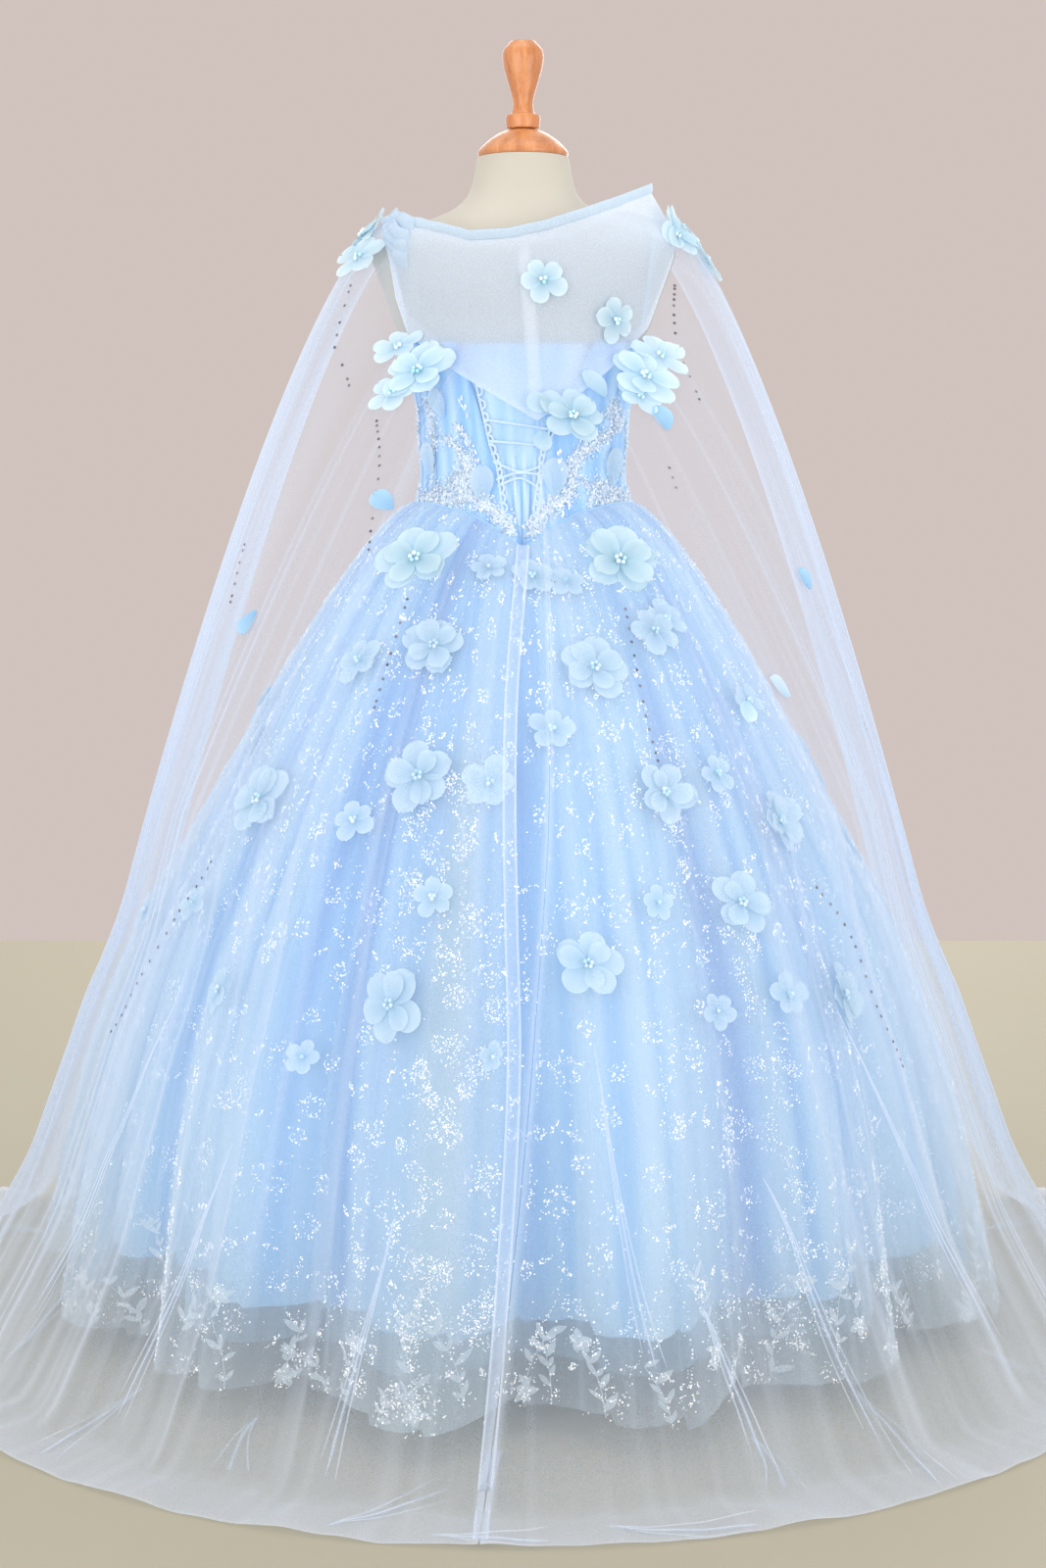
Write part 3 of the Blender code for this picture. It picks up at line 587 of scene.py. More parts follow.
class heap:
    # Gathers many small things into one joined mesh
    def __init__(self, seed):
        self.points, self.faces, self.rim = [], [], []
        self.random = random.Random(seed)

    def grid(self, rows, closed=False, rim=None):
        self.faces += gridFaces(len(rows), len(rows[0]), closed, len(self.points))
        self.points += [p for line in rows for p in line]
        self.rim += [v for line in rim for v in line] if rim else [0.0] * (len(rows) * len(rows[0]))

    def speck(self, at, normal, size, corners=4, tilt=0.45):
        # A flat speck, turned a little off its cloth so that each one catches light its own way
        lean = Vector([self.random.uniform(-tilt, tilt) for k in range(3)])
        facing = (normal + lean).normalized()
        side = facing.orthogonal().normalized()
        other = facing.cross(side)
        start = self.random.uniform(0, pi)
        first = len(self.points)
        for k in range(corners):
            turn = start + 2 * pi * k / corners
            self.points.append(at + (side * cos(turn) + other * sin(turn)) * size / 2)
        self.faces.append(tuple(range(first, first + corners)))
        self.rim += [0.0] * corners

    def gem(self, at, normal, along, wide, tall, deep=0.5, sides=6):
        # A cut stone: a flat crown over a pointed base
        along = (along - normal * along.dot(normal)).normalized()
        across = normal.cross(along)
        first = len(self.points)
        for reach, lift in ((1.0, 0.0), (0.55, deep * 0.4)):
            for k in range(sides):
                turn = 2 * pi * k / sides
                flat = along * cos(turn) * tall + across * sin(turn) * wide
                self.points.append(at + flat * reach / 2 + normal * lift * wide)
        self.points.append(at - normal * deep * wide * 0.5)
        low, high, tip = first, first + sides, first + 2 * sides
        self.faces.append(tuple(high + k for k in range(sides)))
        for k in range(sides):
            m = (k + 1) % sides
            self.faces += [(low + k, low + m, high + m, high + k), (tip, low + m, low + k)]
        self.rim += [0.0] * (2 * sides + 1)

    def ball(self, at, size, rings=4, sides=7):
        rows = []
        turns = [2 * pi * j / sides for j in range(sides)]
        for i in range(rings + 1):
            tall = pi * (0.04 + 0.92 * i / rings)
            wide, high = sin(tall), -cos(tall)
            ring = [Vector((wide * cos(t), wide * sin(t), high)) for t in turns]
            rows.append([at + p * (size / 2) for p in ring])
        self.grid(rows, True)

    def tube(self, path, radius, sides=6, flat=1.0, outward=None):
        rows = []
        turns = [2 * pi * k / sides for k in range(sides)]
        for i, point in enumerate(path):
            along = direction(path, i)
            out = outward[i] if outward else Vector((point.x, point.y, 0))
            out = (out - along * out.dot(along)).normalized()
            side = along.cross(out)
            thick = out * (radius * flat)
            rows.append([point + side * (radius * cos(t)) + thick * sin(t) for t in turns])
        self.grid(rows, True)

    def done(self, name, look, slot, stands=(), rounded=True, rim=False, **even):
        # Any further mark is one value for the whole piece
        marks = {"rim": self.rim} if rim else {}
        for mark, value in even.items():
            marks[mark] = [value] * len(self.points)
        return piece(name, self.points, self.faces, look, stands, marks, rounded)


def curve(points, steps):
    # A smooth path through a short list of points
    path = []
    last = len(points) - 1
    for i in range(last):
        a, b, c, d = (points[min(max(k, 0), last)] for k in (i - 1, i, i + 1, i + 2))
        for k in range(steps):
            t = k / steps
            path.append(
                tuple(
                    q + t / 2 * ((r - p) + t * (2 * p - 5 * q + 4 * r - s) + t * t * (3 * q - p - 3 * r + s))
                    for p, q, r, s in zip(a, b, c, d)
                )
            )
    return path + [tuple(points[-1])]


# The dress form
formRings = {"sides": 96, "rows": 90}
cap = tableOf(
    "height radius",
    (1.3925, 0.054), (1.398, 0.055), (1.406, 0.049), (1.416, 0.037), (1.423, 0.024), (1.426, 0.012),
)
finial = tableOf(
    "height radius",
    (1.4263, 0.02), (1.442, 0.0205), (1.444, 0.015), (1.457, 0.0122), (1.475, 0.0165),
    (1.5, 0.0235), (1.518, 0.024), (1.529, 0.015),
)


def turned(name, profile, look, stands, steps=8, sides=64):
    rings = []
    for low, high in zip(profile, profile[1:]):
        for k in range(steps):
            height = low["height"] + (high["height"] - low["height"]) * k / steps
            rings.append((height, smooth(profile, "radius", height)))
    rings.append((profile[-1]["height"], profile[-1]["radius"]))
    points = [place(360 * j / sides, r, h) for h, r in rings for j in range(sides)]
    faces = gridFaces(len(rings), sides, True)
    points += [Vector((0, 0, rings[0][0])), Vector((0, 0, rings[-1][0]))]
    last = (len(rings) - 1) * sides
    for j in range(sides):
        k = (j + 1) % sides
        faces += [(len(points) - 2, k, j), (len(points) - 1, last + j, last + k)]
    return piece(name, points, faces, look, stands)


def dressForm():
    low, high = body[0]["height"], body[-1]["height"]
    sides, rows = formRings["sides"], formRings["rows"]
    grid = []
    for i in range(rows + 1):
        height = low + (high - low) * i / rows
        angles = [360 * j / sides for j in range(sides)]
        grid.append([place(a, bodyRadius(a, height), height) for a in angles])
    sheetPiece("torso_cover", grid, looks["jersey"], ["form_torso"], True)
    turned("cap_turned", cap, looks["wood"], ["neck_cap"])
    turned("finial_turned", finial, looks["wood"], ["finial"])
    for node in ("stand_pole", "stand_base"):
        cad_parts[node].material_slots[0].material = looks["steel"]


dressForm()
print("form done", flush=True)

# Skirt: satin lining, net between, glitter overlay
skirtRows = tableOf(
    "name inner hem drape fine notch seed rows columns",
    ("lining", 1.0, cut["liningHem"], 0.005, 0.002, 0.016, 3.0, 60, 720),
    ("middle", 0.55, cut["middleHem"], 0.007, 0.004, 0.012, 5.0, 40, 600),
    ("overlay", 0.0, cut["overlayHem"], 0.007, 0.004, 0.017, 9.0, 64, 1080),
)
skirtLayers = {row["name"]: row for row in skirtRows}
# Narrow creases in the lining: depth sets how far each pulls the cloth in and how much painted shade darkens
# its valley
liningCreases = tableOf(
    "angle width depth",
    (-150, 3.0, 0.9), (-128, 4.0, 1.0), (-103, 3.0, 0.8), (-78, 3.5, 0.9), (-56, 2.0, 0.88),
    (-33, 2.4, 1.05), (-14, 2.0, 0.77), (0, 2.5, 0.6), (12, 2.0, 0.99), (30, 2.4, 1.05),
    (51, 2.4, 0.99), (72, 3.0, 0.8), (95, 4.0, 1.0), (118, 3.0, 0.8), (140, 3.5, 0.9),
    (164, 3.0, 0.9), (-46, 1.3, 0.8), (-40, 1.0, 0.6), (-25, 1.3, 0.9), (-20, 1.0, 0.5),
    (-6, 1.1, 0.6), (6, 1.0, 0.6), (18, 1.2, 0.8), (23, 1.0, 0.5), (38, 1.3, 0.8), (44, 1.0, 0.6),
    (62, 1.3, 0.8), (-67, 1.4, 0.8), (-90, 1.5, 0.8), (84, 1.5, 0.8), (107, 1.4, 0.7),
    (-116, 1.5, 0.8), (129, 1.4, 0.7), (-139, 1.5, 0.7), (152, 1.4, 0.8), (175, 1.5, 0.8),
    (-170, 1.5, 0.8),
)
overlayStacks = tableOf(
    "angle width share",
    (-10, 3.2, 0.55), (-4.5, 1.2, 0.22), (-17, 1.2, 0.1), (27, 1.5, 0.12), (32, 2.4, 0.32),
    (-37, 1.5, 0.12), (-60, 2.5, 0.14), (58, 2.0, 0.14), (88, 3.0, 0.18), (-92, 3.0, 0.16),
    (125, 2.5, 0.16), (-130, 3.0, 0.2), (158, 2.0, 0.14), (-168, 3.0, 0.18),
)


def creased(table, angle, column):
    total = 0.0
    for row in table:
        off = wrap(angle - row["angle"]) / row["width"]
        if abs(off) < 3:
            total += row[column] * exp(-off * off)
    return total


def gather(angle, height, size, seed):
    # Fine pleats that start at the waist seam and open out downwards
    down = basqueAt(angle) - height
    return size * exp(-down / 0.13) * clamp(down / 0.012) * wisp(angle, 0.0, 22, seed)


def layerRadius(name, angle, height):
    layer = skirtLayers[name]
    top = basqueAt(angle)
    fall = clamp((top - height) / (top - layer["hem"]))
    radius = skirtRadius(angle, height, layer["inner"])
    radius += layer["drape"] * fall * wisp(angle, height * 0.6, 9, layer["seed"])
    radius += layer["fine"] * fall * wisp(angle, height * 0.4, 26, layer["seed"] + 7)
    radius += gather(angle, height, 0.0022 if name == "lining" else 0.004, layer["seed"])
    if name == "lining":
        radius -= 0.012 * fall**0.8 * creased(liningCreases, angle, "depth")
    if name == "overlay":
        radius += 0.01 * fall * creased(overlayStacks, angle + 1.5, "share")
    return radius


def hemNotch(angle, seed):
    # Small steps in a hem, from 0 to 1, where one fold laps over the next
    spot = (angle + 4 * wisp(angle, 0, 5, seed)) / 9.0 + seed
    part = spot - floor(spot)
    return (0.3 + 0.7 * abs(sin(floor(spot) * 2.4))) * part**2


def skirtLayer(name, look, stands):
    layer = skirtLayers[name]
    grid, depth, dense = [], [], []
    for i in range(layer["rows"] + 1):
        share = (1 - i / layer["rows"]) ** 1.25
        line, paintedShade, thick = [], [], []
        for j in range(layer["columns"]):
            angle = 360 * j / layer["columns"]
            top = basqueAt(angle) - 0.0005
            height = top + (layer["hem"] + layer["notch"] * hemNotch(angle, layer["seed"]) - top) * share
            line.append(place(angle, layerRadius(name, angle, height), height))
            wave = fold(skirtFolds, angle)[0]
            # Painted shade and highlight for the satin: lighter on fold ridges and towards the hem, darker in
            # the creases' valleys, and unevenly darker at the waist gathers
            tone = 0.6 + 0.22 * share + 0.24 * wave + 0.5 * wisp(angle, height * 0.5, 14, layer["seed"])
            tone -= 0.75 * min(share * 3, 1) * creased(liningCreases, angle, "depth")
            tone += exp(-share * 5) * (0.55 * wisp(angle, 0, 26, layer["seed"]) - 0.15)
            paintedShade.append(clamp(tone))
            stack = creased(overlayStacks, angle, "share") * clamp(share * 2.5) if name == "overlay" else 0.0
            streak = max(wisp(angle, height * 0.25, 60, layer["seed"] + 3) - 0.12, 0)
            low = 0.04 * clamp((share - 0.84) / 0.06)
            thick.append(stack * (0.7 + 0.9 * abs(wisp(angle, height, 40, 2.0))) + 0.32 * streak + low)
        grid.append(line)
        depth.append(paintedShade)
        dense.append(thick)
    marks = {"depth": depth, "dense": dense}
    made = sheetPiece(name, grid, look, stands, True, marks)
    area = gridArea(grid, True)
    level = [Vector((p.x, p.y)) for p in grid[0]]
    wide = sum((b - a).length for a, b in zip(level, level[1:] + level[:1]))
    tall = sum((high[0] - low[0]).length for low, high in zip(grid, grid[1:]))
    print(name, "area", round(area, 3), "hem", round(wide, 3), "slant", round(tall, 3), flush=True)
    return made, area, wide, tall


skirtSheets = [
    skirtLayer("lining", looks["satin"], ["skirt_lining"]),
    skirtLayer("middle", looks["middle"], []),
    skirtLayer("overlay", looks["overlay"], ["skirt_overlay"]),
]


# Bodice shells and modesty panel
def constant(angle):
    return lambda share: angle


def openingAt(side):
    return lambda share: read(opening, side, share, "share")


def bodicePoint(angle, height, lift=0.0):
    return place(angle, bodyRadius(angle, height, cut["bodiceOut"] + lift), height)


def bodicePanel(name, left, right, node, columns=24, rows=40):
    grid, depth = [], []
    for i in range(rows + 1):
        share = i / rows
        line, paintedShade = [], []
        for j in range(columns + 1):
            across = j / columns
            angle = left(share) + (right(share) - left(share)) * across
            low = basqueAt(angle)
            high = read(neckEdge, "height", abs(wrap(angle)), "angle")
            height = low + (high - low) * share
            edge = sharp(min(across, 1 - across), 0.06)
            rim = sharp(1 - share, 0.03)
            pull = 0.0005 * wisp(angle, height * 6, 18, 1.0)
            line.append(bodicePoint(angle, height, 0.0007 * edge + 0.0008 * rim + pull))
            # Painted shade: darker along the panels' seamed edges, with uneven painted sheen across the satin
            paintedShade.append(clamp(0.36 + 0.5 * wisp(angle, height * 2, 12, 1.0) - 0.25 * edge))
        grid.append(line)
        depth.append(paintedShade)
    sheetPiece(name, grid, looks["satin"], [node], False, {"depth": depth})


bodicePanel("panel_back_left", constant(-61.8), openingAt("left"), "bodice_back_left", 32)
bodicePanel("panel_back_right", openingAt("right"), constant(61.8), "bodice_back_right", 32)
bodicePanel("panel_side_left", constant(-99.8), constant(-62.2), "bodice_side_left")
bodicePanel("panel_side_right", constant(62.2), constant(99.8), "bodice_side_right")
bodicePanel("panel_front_left", constant(-149.8), constant(-100.2), "bodice_front_side_left", 32)
bodicePanel("panel_front_right", constant(100.2), constant(149.8), "bodice_front_side_right", 32)
bodicePanel("panel_front", constant(150.2), constant(209.8), "bodice_front", 32)


def modestyPanel():
    # Gathered satin behind the lacing, its folds gathered in towards the waist
    grid, depth = [], []
    rows, columns = 60, 110
    for i in range(rows + 1):
        height = 0.922 + (1.164 - 0.922) * i / rows
        pinch = clamp((1.045 - height) / 0.04)
        line, paintedShade = [], []
        for j in range(columns + 1):
            angle = -45 + 90 * j / columns
            fanned = angle / (0.3 + 0.7 * clamp((height - 0.93) / 0.23))
            pleat = sin(fanned * 0.42 + 1.2 * sin(height * 38)) + 0.5 * sin(fanned * 0.9)
            lift = 0.0009 * pleat * pinch
            line.append(place(angle, bodyRadius(angle, height, cut["panelOut"] + lift), height))
            # Painted shade and highlight: pleat ridges lighter and their valleys darker near the waist, with
            # uneven painted sheen above
            drape = 0.5 * wisp(angle, height * 5, 8, 6.0) * (1 - pinch)
            paintedShade.append(clamp(0.55 + 0.35 * pleat * pinch + drape))
        grid.append(line)
        depth.append(paintedShade)
    sheetPiece("modesty", grid, looks["satin"], ["modesty_panel"], False, {"depth": depth})


modestyPanel()

lacing = {
    "cord": 0.0016,
    "leftEdge": [
        (-29, 1.117), (-26, 1.081), (-23, 1.048), (-19, 1.023), (-17, 1.001), (-14, 0.973), (-8, 0.946),
    ],
    "rightEdge": [(35, 1.112), (21, 1.062), (15, 1.035), (14, 1.012), (11, 0.979), (7, 0.951)],
    "crossings": [
        [(-25, 1.075), (21, 1.063)],
        [(-23, 1.05), (17, 1.044)],
        [(-21, 1.026), (-3, 1.014), (13, 1.02)],
        [(-19, 1.004), (-4, 1.012), (14, 1.01)],
        [(-18, 0.996), (-2, 1.006), (13, 0.992)],
    ],
    "ends": [[(12, 1.01), (9, 0.99), (7, 0.968)], [(12, 1.01), (13, 0.985), (10, 0.962)]],
}


def lace():
    cords = heap(21)
    for side, edge in (("leftEdge", -1), ("rightEdge", 1)):
        path = curve(lacing[side], 10)
        cords.tube([bodicePoint(a, h, 0.0006) for a, h in path], 0.0014, 6)
        for i in range(3, len(path) - 3, 4):
            angle, height = path[i]
            loop = [(0, 0.006), (-edge * 2.4, 0.004), (-edge * 3.0, 0), (-edge * 2.2, -0.004), (0, -0.006)]
            points = [bodicePoint(angle + a, height + h, 0.001) for a, h in curve(loop, 3)]
            cords.tube(points, lacing["cord"], 5)
    for i, row in enumerate(lacing["crossings"] + lacing["ends"]):
        points = [bodicePoint(a, h, 0.0004 + 0.0006 * (i % 2)) for a, h in curve(row, 10)]
        cords.tube(points, lacing["cord"], 6)
    cords.done("laces", looks["satin"], "satin", ["lacing"], depth=0.95)


lace()


strap = {
    "width": 0.0026,
    "path": [
        (70, 1.18), (69, 1.215), (69, 1.25), (72, 1.28), (80, 1.298), (90, 1.306),
        (100, 1.3), (110, 1.285), (119, 1.255), (124, 1.225), (128, 1.203),
    ],
}


def straps():
    # Narrow straps that lie flat over the form's shoulders
    for side, node in ((-1, "strap_left"), (1, "strap_right")):
        path = [(side * a, h) for a, h in curve(strap["path"], 8)]
        points = [place(a, bodyRadius(a, h, 0.0026), h) for a, h in path]
        out = [(place(a, 1, 0) + Vector((0, 0, 1.5 * clamp((h - 1.25) / 0.05)))) for a, h in path]
        made = heap(22)
        made.tube(points, strap["width"], 8, 0.3, out)
        made.done(node + "_cloth", looks["satin"], "satin", [node], depth=1.0)


def waistPiping():
    # A corded edge that covers the seam of bodice and skirt
    made = heap(23)
    angles = [360 * k / 240 for k in range(241)]
    path = [bodicePoint(a, basqueAt(a) - 0.0004, 0.0022) for a in angles]
    made.tube(path, 0.0017, 8)
    made.done("waist_piping", looks["satin"], "satin", depth=0.4)


straps()
waistPiping()
print("bodice done", flush=True)


# Yoke and neck band
yokeSides = (-78, 88)


def yokeAngles(across):
    # Where a line down the yoke leaves the neck band and meets the cape's seam
    first, last = neckline[0]["angle"], neckline[-1]["angle"]
    left, right = yokeSides
    return first + (last - first) * across, left + (right - left) * across


def yokePoint(across, down, lift=0.0):
    angle, lowAngle = yokeAngles(across)
    top = place(angle, read(neckline, "radius", angle, "angle"), read(neckline, "height", angle, "angle"))
    seam = read(capeTop, "radius", lowAngle, "angle") - 0.0017
    low = place(lowAngle, seam, read(capeTop, "height", lowAngle, "angle"))
    here = top + (low - top) * down
    angle = degrees(atan2(here.x, -here.y))
    clear = 0.0073 + (cut["bodiceOut"] + 0.004 - 0.0073) * clamp((1.196 - here.z) / 0.022)
    slope = 0.004 + 0.012 * clamp((here.z - 1.24) / 0.04)
    radius = max(hypot(here.x, here.y), bodyRadius(angle, here.z - slope, clear))
    return place(angle, radius + lift, here.z)


def yokeSurface(angle, height):
    left, right = yokeSides
    across = clamp((angle - left) / (right - left))
    highAngle, lowAngle = yokeAngles(across)
    edge = read(neckline, "height", highAngle, "angle")
    seam = read(capeTop, "height", lowAngle, "angle")
    return yokePoint(across, clamp((edge - height) / (edge - seam)))


def yokeCloth():
    columns, rows = 140, 60
    grid, dense = [], []
    for i in range(rows + 1):
        down = 1 - i / rows
        line, thick = [], []
        for j in range(columns + 1):
            across = j / columns
            tuck = 0.5 + 0.5 * sin(across * 95 + 4 * down)
            pulled = sharp(across, 0.1) * tuck
            loose = 0.0008 * abs(wisp(across * 160, down, 8, 3.0))
            line.append(yokePoint(across, down, 0.0015 * pulled + loose))
            seam = clamp(1.6 - abs(across - 0.49 - 0.03 * down) / 0.017) * clamp((down - 0.05) * 8)
            hem = sharp(1 - down, 0.03) + sharp(down, 0.05)
            sides = sharp(min(across, 1 - across), 0.012)
            lower = 0.05 * clamp((down - 0.55) * 3)
            thick.append(0.3 * clamp(seam) + 0.1 * hem + 0.2 * sides + 0.08 * pulled + lower)
        grid.append(line)
        dense.append(thick)
    made = sheetPiece("yoke_cloth", grid, looks["yoke"], ["yoke"], False, {"dense": dense})
    band = heap(31)
    path = []
    for j in range(121):
        ruck = 0.0012 * sin(j * 0.9) * sharp(j - 8, 14)
        path.append(yokePoint(j / 120, 0.0, 0.0006 + ruck) + Vector((0, 0, 0.005 + ruck)))
    band.tube(path, 0.0062, 8, 0.28)
    band.done("neck_binding", looks["binding"], "sheer", ["neck_band"], dense=0.1)
    knot = heap(32)
    for turn in range(4):
        rows = []
        for i in range(9):
            u = i / 8
            line = []
            for j in range(25):
                v = j / 24
                base = yokePoint(0.015 + 0.1 * v, 0.02 + 0.1 * turn, 0.001)
                out = Vector((base.x, base.y, 0.06)).normalized()
                puff = sin(pi * u) * sin(pi * v) ** 0.6
                crimp = 1 + 0.35 * sin(17 * v + 2 * turn) + 0.2 * sin(31 * v + turn)
                line.append(base + out * (0.01 * puff * crimp) + Vector((0, 0, 0.02 * (u - 0.4))))
            rows.append(line)
        knot.grid(rows)
    knot.done("shoulder_gathers", looks["binding"], "sheer", dense=0.06)


yokeCloth()

# Cape
capeStyle = {"rows": 90, "trainRows": 14, "columns": 340, "lean": 0.007, "fine": 0.004}
capeCreases = tableOf(
    "angle width share",
    (112, 3.0, 0.1), (100, 0.8, 0.09), (92, 0.6, 0.08), (86, 1.2, 0.05), (79, 0.5, 0.09),
    (70, 0.8, 0.05), (61, 0.4, 0.09), (52, 0.7, 0.06), (41, 0.4, 0.08), (31, 0.5, 0.07),
    (19, 0.4, 0.06), (10, 0.5, 0.05),
)


def capeSkin(angle, height):
    # The cape's radius with its loose folds, kept clear of the overlay beneath
    top = read(capeTop, "height", wrap(angle), "angle")
    fall = clamp((top - height) / top)
    lean = capeStyle["lean"] * fall * wisp(angle, height * 0.5, 12, 2.0)
    lean += capeStyle["fine"] * fall * wisp(angle, height * 0.3, 34, 6.0)
    lean += 0.05 * fall * creased(capeCreases, abs(angle) + 2 * wisp(0, height * 0.4, 1, 4.0), "share")
    radius = capeRadius(angle, height, lean)
    if 0.03 < height < 0.9:
        radius = max(radius, layerRadius("overlay", angle, height) + 0.01)
    return radius


def trainHeight(angle, onFloor, left):
    # The train rises and dips a little on the floor
    wave = fold(capeFolds, abs(angle) + (3 if left else 0))[0]
    ruck = 0.5 + wisp(angle, onFloor * 0.6, 20, 4.0)
    return 0.0012 + 0.003 * max(wave, 0) * onFloor + 0.003 * ruck


def capePoint(side, across, share, onFloor):
    seam = cut["seamFloor"] + (cut["seamTop"] - cut["seamFloor"]) * share
    angle = seam + side * 0.06 + (side * (cut["capeFront"] - 0.5) - seam) * across
    if onFloor > 0:
        start = capeSkin(angle, 0.0)
        radius = start + (cut["train"] - 0.001 - start) * onFloor
        return place(angle, radius, trainHeight(angle, onFloor, side < 0))
    top = read(capeTop, "height", angle, "angle")
    height = 0.006 + (top - 0.006) * share
    return place(angle, capeSkin(angle, height), height)


def capeCloth():
    rows, train, columns = capeStyle["rows"], capeStyle["trainRows"], capeStyle["columns"]
    for name, side, node in (("cape_left_cloth", -1, "cape_left"), ("cape_right_cloth", 1, "cape_right")):
        order = [j / columns for j in (range(columns + 1) if side > 0 else range(columns, -1, -1))]
        steps = [(0, 1 - i / train) for i in range(train)] + [((i / rows) ** 1.2, 0) for i in range(rows + 1)]
        grid = [[capePoint(side, across, share, onFloor) for across in order] for share, onFloor in steps]
        dense = []
        for (share, onFloor), line in zip(steps, grid):
            thick = []
            for across, point in zip(order, line):
                angle = degrees(atan2(point.x, -point.y))
                bent = abs(angle) + (1.5 if side < 0 else 0) + 5 * wisp(angle * 0.02, share * 1.2, 1, 5.0)
                lines = creased(capeCreases, bent, "share") * (1 - 0.85 * onFloor)
                streak = max(wisp(angle, share * 0.7, 34, 8.0) - 0.08, 0)
                rim = sharp(1 - across, 0.008) + sharp(across, 0.005)
                hem = sharp(1 - onFloor, 0.03) if onFloor else 0.0
                streak *= 0.22 * (0.25 + 0.75 * clamp(2.2 * (1 - share)))
                broad = 0.16 * max(wisp(angle, share * 0.8, 9, 3.0) - 0.1, 0)
                haze = 0.13 * clamp(1 - share / 0.14) + 0.09 * onFloor
                thick.append(1.3 * lines + streak + broad + 0.36 * rim + 0.14 * hem + haze)
            dense.append(thick)
        made = sheetPiece(name, grid, looks["sheer"], [node], False, {"dense": dense})


capeCloth()
print("cape and yoke done", flush=True)


# The cape's centre seam and the creases of the train, as narrow strips of doubled net
seamStrip = {"width": 0.0065, "edge": 0.0009, "lift": 0.0016}
seamPath = [(0, 0.93), (-2, 0.774), (-1.5, 0.56), (-1, 0.389), (-2, 0.176), (-3, 0.02)]
seamOnFloor = [(-0.028, -0.59), (-0.034, -0.64), (-0.039, -0.73), (-0.04, -0.794)]
trainCreases = [
    [(0.366, -0.43), (0.385, -0.511), (0.417, -0.672)],
    [(0.24, -0.555), (0.256, -0.61), (0.262, -0.68)],
    [(-0.285, -0.5), (-0.296, -0.56), (-0.299, -0.64)],
    [(-0.187, -0.761), (-0.137, -0.73), (-0.072, -0.676)],
    [(-0.087, -0.781), (-0.031, -0.79), (0.024, -0.792)],
    [(-0.592, -0.348), (-0.575, -0.22), (-0.565, -0.093)],
    [(0.08, -0.762), (0.15, -0.768), (0.23, -0.758)],
    [(-0.42, -0.42), (-0.455, -0.5), (-0.5, -0.6)],
    [(0.52, -0.3), (0.575, -0.38), (0.64, -0.43)],
    [(0.6, 0.1), (0.68, 0.14), (0.75, 0.17)],
    [(-0.61, 0.08), (-0.69, 0.12), (-0.76, 0.13)],
]
capeLines = [
    [(26, 0.275), (28, 0.216), (29, 0.148), (31, 0.02)],
    [(17, 0.165), (18, 0.122), (20, 0.02)],
    [(-33, 0.3), (-36, 0.16), (-38, 0.02)],
    [(-13, 0.25), (-15, 0.12), (-16, 0.02)],
    [(8, 0.42), (10, 0.24), (12, 0.11)],
    [(42, 0.42), (46, 0.24), (50, 0.06)],
    [(-48, 0.46), (-52, 0.26), (-55, 0.08)],
]


def onTrain(x, y, lift):
    # A point just above the train
    angle, radius = degrees(atan2(x, -y)), hypot(x, y)
    start = capeSkin(angle, 0.0)
    onFloor = clamp((radius - start) / (cut["train"] - 0.001 - start))
    return Vector((x, y, trainHeight(angle, onFloor, x < 0) + lift))


def pulledCrease(made, line, out, fan):
    # A pulled crease: one soft band of doubled net and fine lines that spread towards its lower end
    layStrip(made, line, 0.0022, out, 0.12, True)
    for k, start in enumerate((0, 2, 4)):
        path = []
        for i in range(start, len(line) - k):
            along = direction(line, i)
            spread = fan * (k - 1) * (i / len(line)) ** 1.5
            at = line[i] + along.cross(out[i]).normalized() * spread + out[i] * 0.0004
            inside = min(1.0, (cut["train"] - 0.004) / hypot(at.x, at.y))
            path.append(Vector((at.x * inside, at.y * inside, at.z)))
        layStrip(made, path, 0.0008, out[start:], 0.8, True)


def layStrip(made, path, width, out, dense, tapered=False):
    rows, thick = [], []
    for i, point in enumerate(path):
        along = direction(path, i)
        side = along.cross(out[i]).normalized()
        taper = min(1.0, 0.25 + 6 * min(i, len(path) - 1 - i) / len(path)) if tapered else 1.0
        rows.append([point + side * (width * taper * (k - 2) / 2) for k in range(5)])
        thick += [dense * (1.0 if k in (0, 4) else 0.35) for k in range(5)]
    made.grid(rows)
    made.thick += thick


def seamAndCreases():
    made = heap(41)
    made.thick = []
    path = [place(a, capeSkin(a, h) + seamStrip["lift"], h) for a, h in curve(seamPath, 16)]
    out = [levelOut(p) for p in path]
    flat = [onTrain(x, y, 0.0026) for x, y in curve(seamOnFloor, 8)]
    path += flat
    out += [Vector((0, -0.3, 1)).normalized() for p in flat]
    layStrip(made, path, seamStrip["width"], out, 0.4)
    for side in (-1, 1):
        edge = []
        for i, point in enumerate(path):
            along = direction(path, i)
            across = along.cross(out[i]).normalized()
            edge.append(point + across * (side * seamStrip["width"]) + out[i] * 0.0004)
        layStrip(made, edge, seamStrip["edge"], out, 1.2)
    for row in trainCreases:
        line = [onTrain(x, y, 0.0022) for x, y in curve(row, 10)]
        pulledCrease(made, line, [Vector((0, -0.2, 1)).normalized()] * len(line), 0.024)
    for row in capeLines:
        line = [place(a, capeSkin(a, h) + 0.0012, h) for a, h in curve(row, 10)]
        pulledCrease(made, line, [levelOut(p) for p in line], 0.012)
    piece("seam_and_creases", made.points, made.faces, looks["sheer"], (), {"dense": made.thick})


seamAndCreases()


def onOverlay(angle, height, lift=0.0):
    return place(angle, layerRadius("overlay", angle, height) + lift, height)


